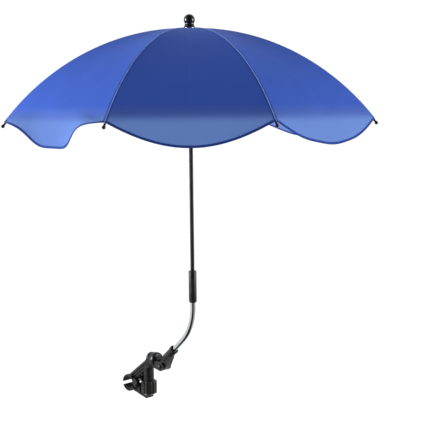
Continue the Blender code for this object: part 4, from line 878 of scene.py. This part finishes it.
def tie(name, number):
    """The ties of one rib, as one helix of thread at each place."""
    turn = rib_turn(number)
    work = bmesh.new()
    for place in TIE_ANGLES:
        a = math.radians(place)
        up = Vector((math.sin(a), 0, math.cos(a)))
        along = Vector((math.cos(a), 0, -math.sin(a)))
        side = Vector((0, 1, 0))
        middle = Vector((0, 0, SPHERE_Z)) + (SPHERE + TIE_CENTRE) * up
        rows = []
        for i in range(TIE_TURNS * TIE_STEPS + 1):
            t = 2 * math.pi * i / TIE_STEPS
            out = math.cos(t) * side + math.sin(t) * up
            spot = middle + TIE_HALF * math.cos(t) * side + TIE_DEEP * math.sin(t) * up
            spot += (i / TIE_STEPS - TIE_TURNS / 2) * TIE_PITCH * along
            ring = [spot + TIE_THREAD * (math.cos(b) * out + math.sin(b) * along) for b in TIE_RING]
            rows.append([work.verts.new(turn @ p) for p in ring])
        for one, two in zip(rows, rows[1:]):
            for i in range(len(TIE_RING)):
                j = (i + 1) % len(TIE_RING)
                work.faces.new((one[i], one[j], two[j], two[i]))
        work.faces.new(rows[0])
        work.faces.new(rows[-1])
    bmesh.ops.recalc_face_normals(work, faces=work.faces)
    mesh = bpy.data.meshes.new(name)
    work.to_mesh(mesh)
    work.free()
    mesh.shade_smooth()
    dress(set_down(name, mesh, THREAD), f"rib_{number}", "canopy_cloth")


for number in range(1, PANELS + 1):
    tie(f"rib_ties_{number}", number)
print(PANELS * len(TIE_ANGLES), "ties")

# %% [markdown]
# Turned pieces. The ball on top and the tips of the ribs are polished balls, where any flat would show, and
# the sleeve that joins shaft and tube has a rounded nose. So they are turned anew in finer steps: a profile
# of radius and height is spun round its own axis.

# %% A lathe for the round pieces
TURN_STEPS = 72
UPRIGHT = Vector((0, 0, 1))
EDGE = 0.6 * MM


def bow(height, radius, start, end, steps):
    """Points (radius, height) of an arc about the axis, its angles in degrees from level."""
    turns = [math.radians(start + (end - start) * i / steps) for i in range(steps + 1)]
    return [(max(radius * math.cos(t), 0), height + radius * math.sin(t)) for t in turns]


def turned(name, profile, foot, axis, finish, steps=TURN_STEPS):
    """A profile of (radius, height) spun round an axis."""
    place = Matrix.Translation(foot) @ axis.to_track_quat("Z", "Y").to_matrix().to_4x4()
    work = bmesh.new()
    rows = []
    for radius, height in profile:
        if radius < 0.001 * MM:
            rows.append([work.verts.new(place @ Vector((0, 0, height)))] * steps)
            continue
        ring = []
        for i in range(steps):
            t = 2 * math.pi * i / steps
            ring.append(work.verts.new(place @ Vector((radius * math.cos(t), radius * math.sin(t), height))))
        rows.append(ring)
    for one, two in zip(rows, rows[1:]):
        for i in range(steps):
            j = (i + 1) % steps
            corners = dict.fromkeys((one[i], one[j], two[j], two[i]))
            if len(corners) > 2:
                work.faces.new(list(corners))
    bmesh.ops.recalc_face_normals(work, faces=work.faces)
    mesh = bpy.data.meshes.new(name)
    work.to_mesh(mesh)
    work.free()
    mesh.shade_smooth()
    mesh.set_sharp_from_angle(angle=CRISP)
    return set_down(name, mesh, finish)


print("lathe with", TURN_STEPS, "steps a turn")

# %% [markdown]
# The finial. It is bored for the end of the shaft and screws the cloth down. From a rounded foot its neck
# narrows slowly, and the ball sits on the waist.

# %% Turn the finial
SHAFT_BORE = 4.3 * MM
SHAFT_INSIDE = 14.3 * MM
BALL = 11.2 * MM
NECK = 9 * MM
BASE = 11.6 * MM
NECK_STEPS = 12

low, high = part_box("finial")
rise = high.z - low.z
bore_top = SHAFT_INSIDE - (low.z - CLOTH_TOP)
neck_turn = math.acos(NECK / BALL)
waist = rise - BALL - BALL * math.sin(neck_turn)
profile = [(0, bore_top), (SHAFT_BORE, bore_top), (SHAFT_BORE, 0)]
profile += [(BASE - EDGE, 0), (BASE - 0.2 * EDGE, 0.25 * EDGE)]
for i in range(NECK_STEPS):
    share = i / NECK_STEPS
    profile.append((NECK + (BASE - NECK) * (1 - share) ** 2, EDGE + (waist - EDGE) * share))
profile += bow(rise - BALL, BALL, -math.degrees(neck_turn), 90, 32)
ball = turned("fine_finial", profile, Vector((0, SHAFT_Y, low.z)), UPRIGHT, GLOSS_BLACK)
dress(ball, BODY["finial"], "gloss_black", "finial")
print(f"finial {rise / MM:.1f} mm high")

# %% [markdown]
# The sleeve. It is bored from above for the shaft and from below for the chrome tube, with a wall left
# between them. Its upper end has a small edge and its lower end is drawn in like a bullet.

# %% Turn the sleeve
SLEEVE = 8 * MM
TUBE_BORE = 5.8 * MM
SLEEVE_BORE = 30 * MM
SLEEVE_ROUND = 2 * MM
SLEEVE_NOSE = 6 * MM
NOSE_STEPS = 9
LIP = 0.3 * MM

low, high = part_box("sleeve")
inside = low.z + SLEEVE_BORE
profile = [(0, inside), (TUBE_BORE, inside), (TUBE_BORE, low.z + LIP), (TUBE_BORE + LIP, low.z)]
for i in range(1, NOSE_STEPS + 1):
    t = math.pi / 2 * i / NOSE_STEPS
    profile.append((SLEEVE - SLEEVE_ROUND * (1 - math.sin(t)), low.z + SLEEVE_NOSE * (1 - math.cos(t))))
profile += [(SLEEVE, high.z - EDGE), (SLEEVE - 0.3 * EDGE, high.z - 0.3 * EDGE), (SLEEVE - EDGE, high.z)]
profile += [(SHAFT_BORE, high.z), (SHAFT_BORE, high.z - SLEEVE_BORE), (0, high.z - SLEEVE_BORE)]
sleeve = turned("fine_sleeve", profile, Vector((0, SHAFT_Y, 0)), UPRIGHT, BLACK_PLASTIC)
dress(sleeve, BODY["sleeve"], "black_plastic", "sleeve")
print(f"sleeve {(high.z - low.z) / MM:.0f} mm long")

# %% [markdown]
# The tips. A cap with a collar is pushed over the end of each rib, and ends in a small ball, which holds the
# corners of the two panels and spares fingers and eyes.

# %% Turn the rib tips
RIB_UNDER = 2.5 * MM
TIP_PAST = 1 * MM
TIP_LENGTH = 11 * MM
TIP_BALL = 3.4 * MM
TIP_BORE = 1.4 * MM
TIP_DEEP = 7 * MM
TIP_STEPS = 32
STEM_MEETS = -56
COLLAR = [(1.8 * MM, 0), (2.3 * MM, 0.5 * MM), (2.3 * MM, 1.4 * MM)]
STEM = [(1.9 * MM, 1.9 * MM), (1.9 * MM, 4.6 * MM)]

past = CANOPY_ANGLE + TIP_PAST / (SPHERE - RIB_UNDER)
foot = Vector((0, 0, SPHERE_Z)) + (SPHERE - RIB_UNDER) * Vector((math.sin(past), 0, math.cos(past)))
axis = Vector((math.cos(past), 0, -math.sin(past)))
profile = [(0, TIP_DEEP), (TIP_BORE, TIP_DEEP), (TIP_BORE, 0)] + COLLAR + STEM
profile += bow(TIP_LENGTH - TIP_BALL, TIP_BALL, STEM_MEETS, 90, 18)
for number in range(1, PANELS + 1):
    turn = rib_turn(number)
    tip = turned(f"fine_tip_{number}", profile, turn @ foot, turn.to_3x3() @ axis, TIP_BLACK, TIP_STEPS)
    dress(tip, BODY[f"rib_tip_{number}"], "gloss_black", f"rib_tip_{number}")
print(PANELS, "tips turned")

# %% [markdown]
# The knob. Fingers need something to push on, so its side has twelve shallow flutes. It is a cup: rings of
# points go up its fluted outside, over the rim, down inside round the drum, and back out through the bore.
# Both rims are rounded.

# %% Mould the fluted knob
FLUTES = 12
FLUTE_STEPS = 14
FLUTE_DEPTH = 1.4 * MM
KNOB_RADIUS = 17 * MM
RIM = 1.6 * MM
RIM_STEPS = 5
DRUM_ROOM = 11.7 * MM
SCREW_BORE = 3.3 * MM
CUP_FLOOR = 6.5 * MM
SCREW_AXIS_Y = -47 * MM
KNOB_CRISP = math.radians(40)


def knob_ring(radius, height, depth):
    """One ring of the knob, with flutes of some depth."""
    ring = []
    for i in range(FLUTES * FLUTE_STEPS):
        t = 2 * math.pi * i / (FLUTES * FLUTE_STEPS)
        r = radius - depth * (1 - math.cos(FLUTES * t)) / 2
        ring.append(Vector((r * math.cos(t), SCREW_AXIS_Y + r * math.sin(t), height)))
    return ring


low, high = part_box("knob")
corner = [math.pi / 2 * i / RIM_STEPS for i in range(RIM_STEPS + 1)]
rim = [(RIM * (1 - math.sin(t)), RIM * (1 - math.cos(t))) for t in corner]
rings = [knob_ring(SCREW_BORE, low.z, 0)]
rings += [knob_ring(KNOB_RADIUS - inward, low.z + along, FLUTE_DEPTH) for inward, along in rim]
rings += [knob_ring(KNOB_RADIUS - along, high.z - inward, FLUTE_DEPTH) for inward, along in rim]
rings += [knob_ring(DRUM_ROOM, high.z, 0), knob_ring(DRUM_ROOM, low.z + CUP_FLOOR, 0)]
rings += [knob_ring(SCREW_BORE, low.z + CUP_FLOOR, 0), rings[0]]
knob = swept("fine_knob", rings, BLACK_PLASTIC, closed_ends=False)
work = bmesh.new()
work.from_mesh(knob.data)
bmesh.ops.remove_doubles(work, verts=work.verts, dist=MERGE)
bmesh.ops.recalc_face_normals(work, faces=work.faces)
work.to_mesh(knob.data)
work.free()
knob.data.set_sharp_from_angle(angle=KNOB_CRISP)
dress(knob, BODY["knob"], "black_plastic", "knob")
print(len(knob.data.polygons), "faces on the knob")

# %% [markdown]
# Last, each panel, hem and row of stitches has its place baked into its mesh.

for number in range(1, PANELS + 1):
    fold_with(panels[number], number)
    fold_with(hems[number], number)
    fold_with(sewing[number], number)
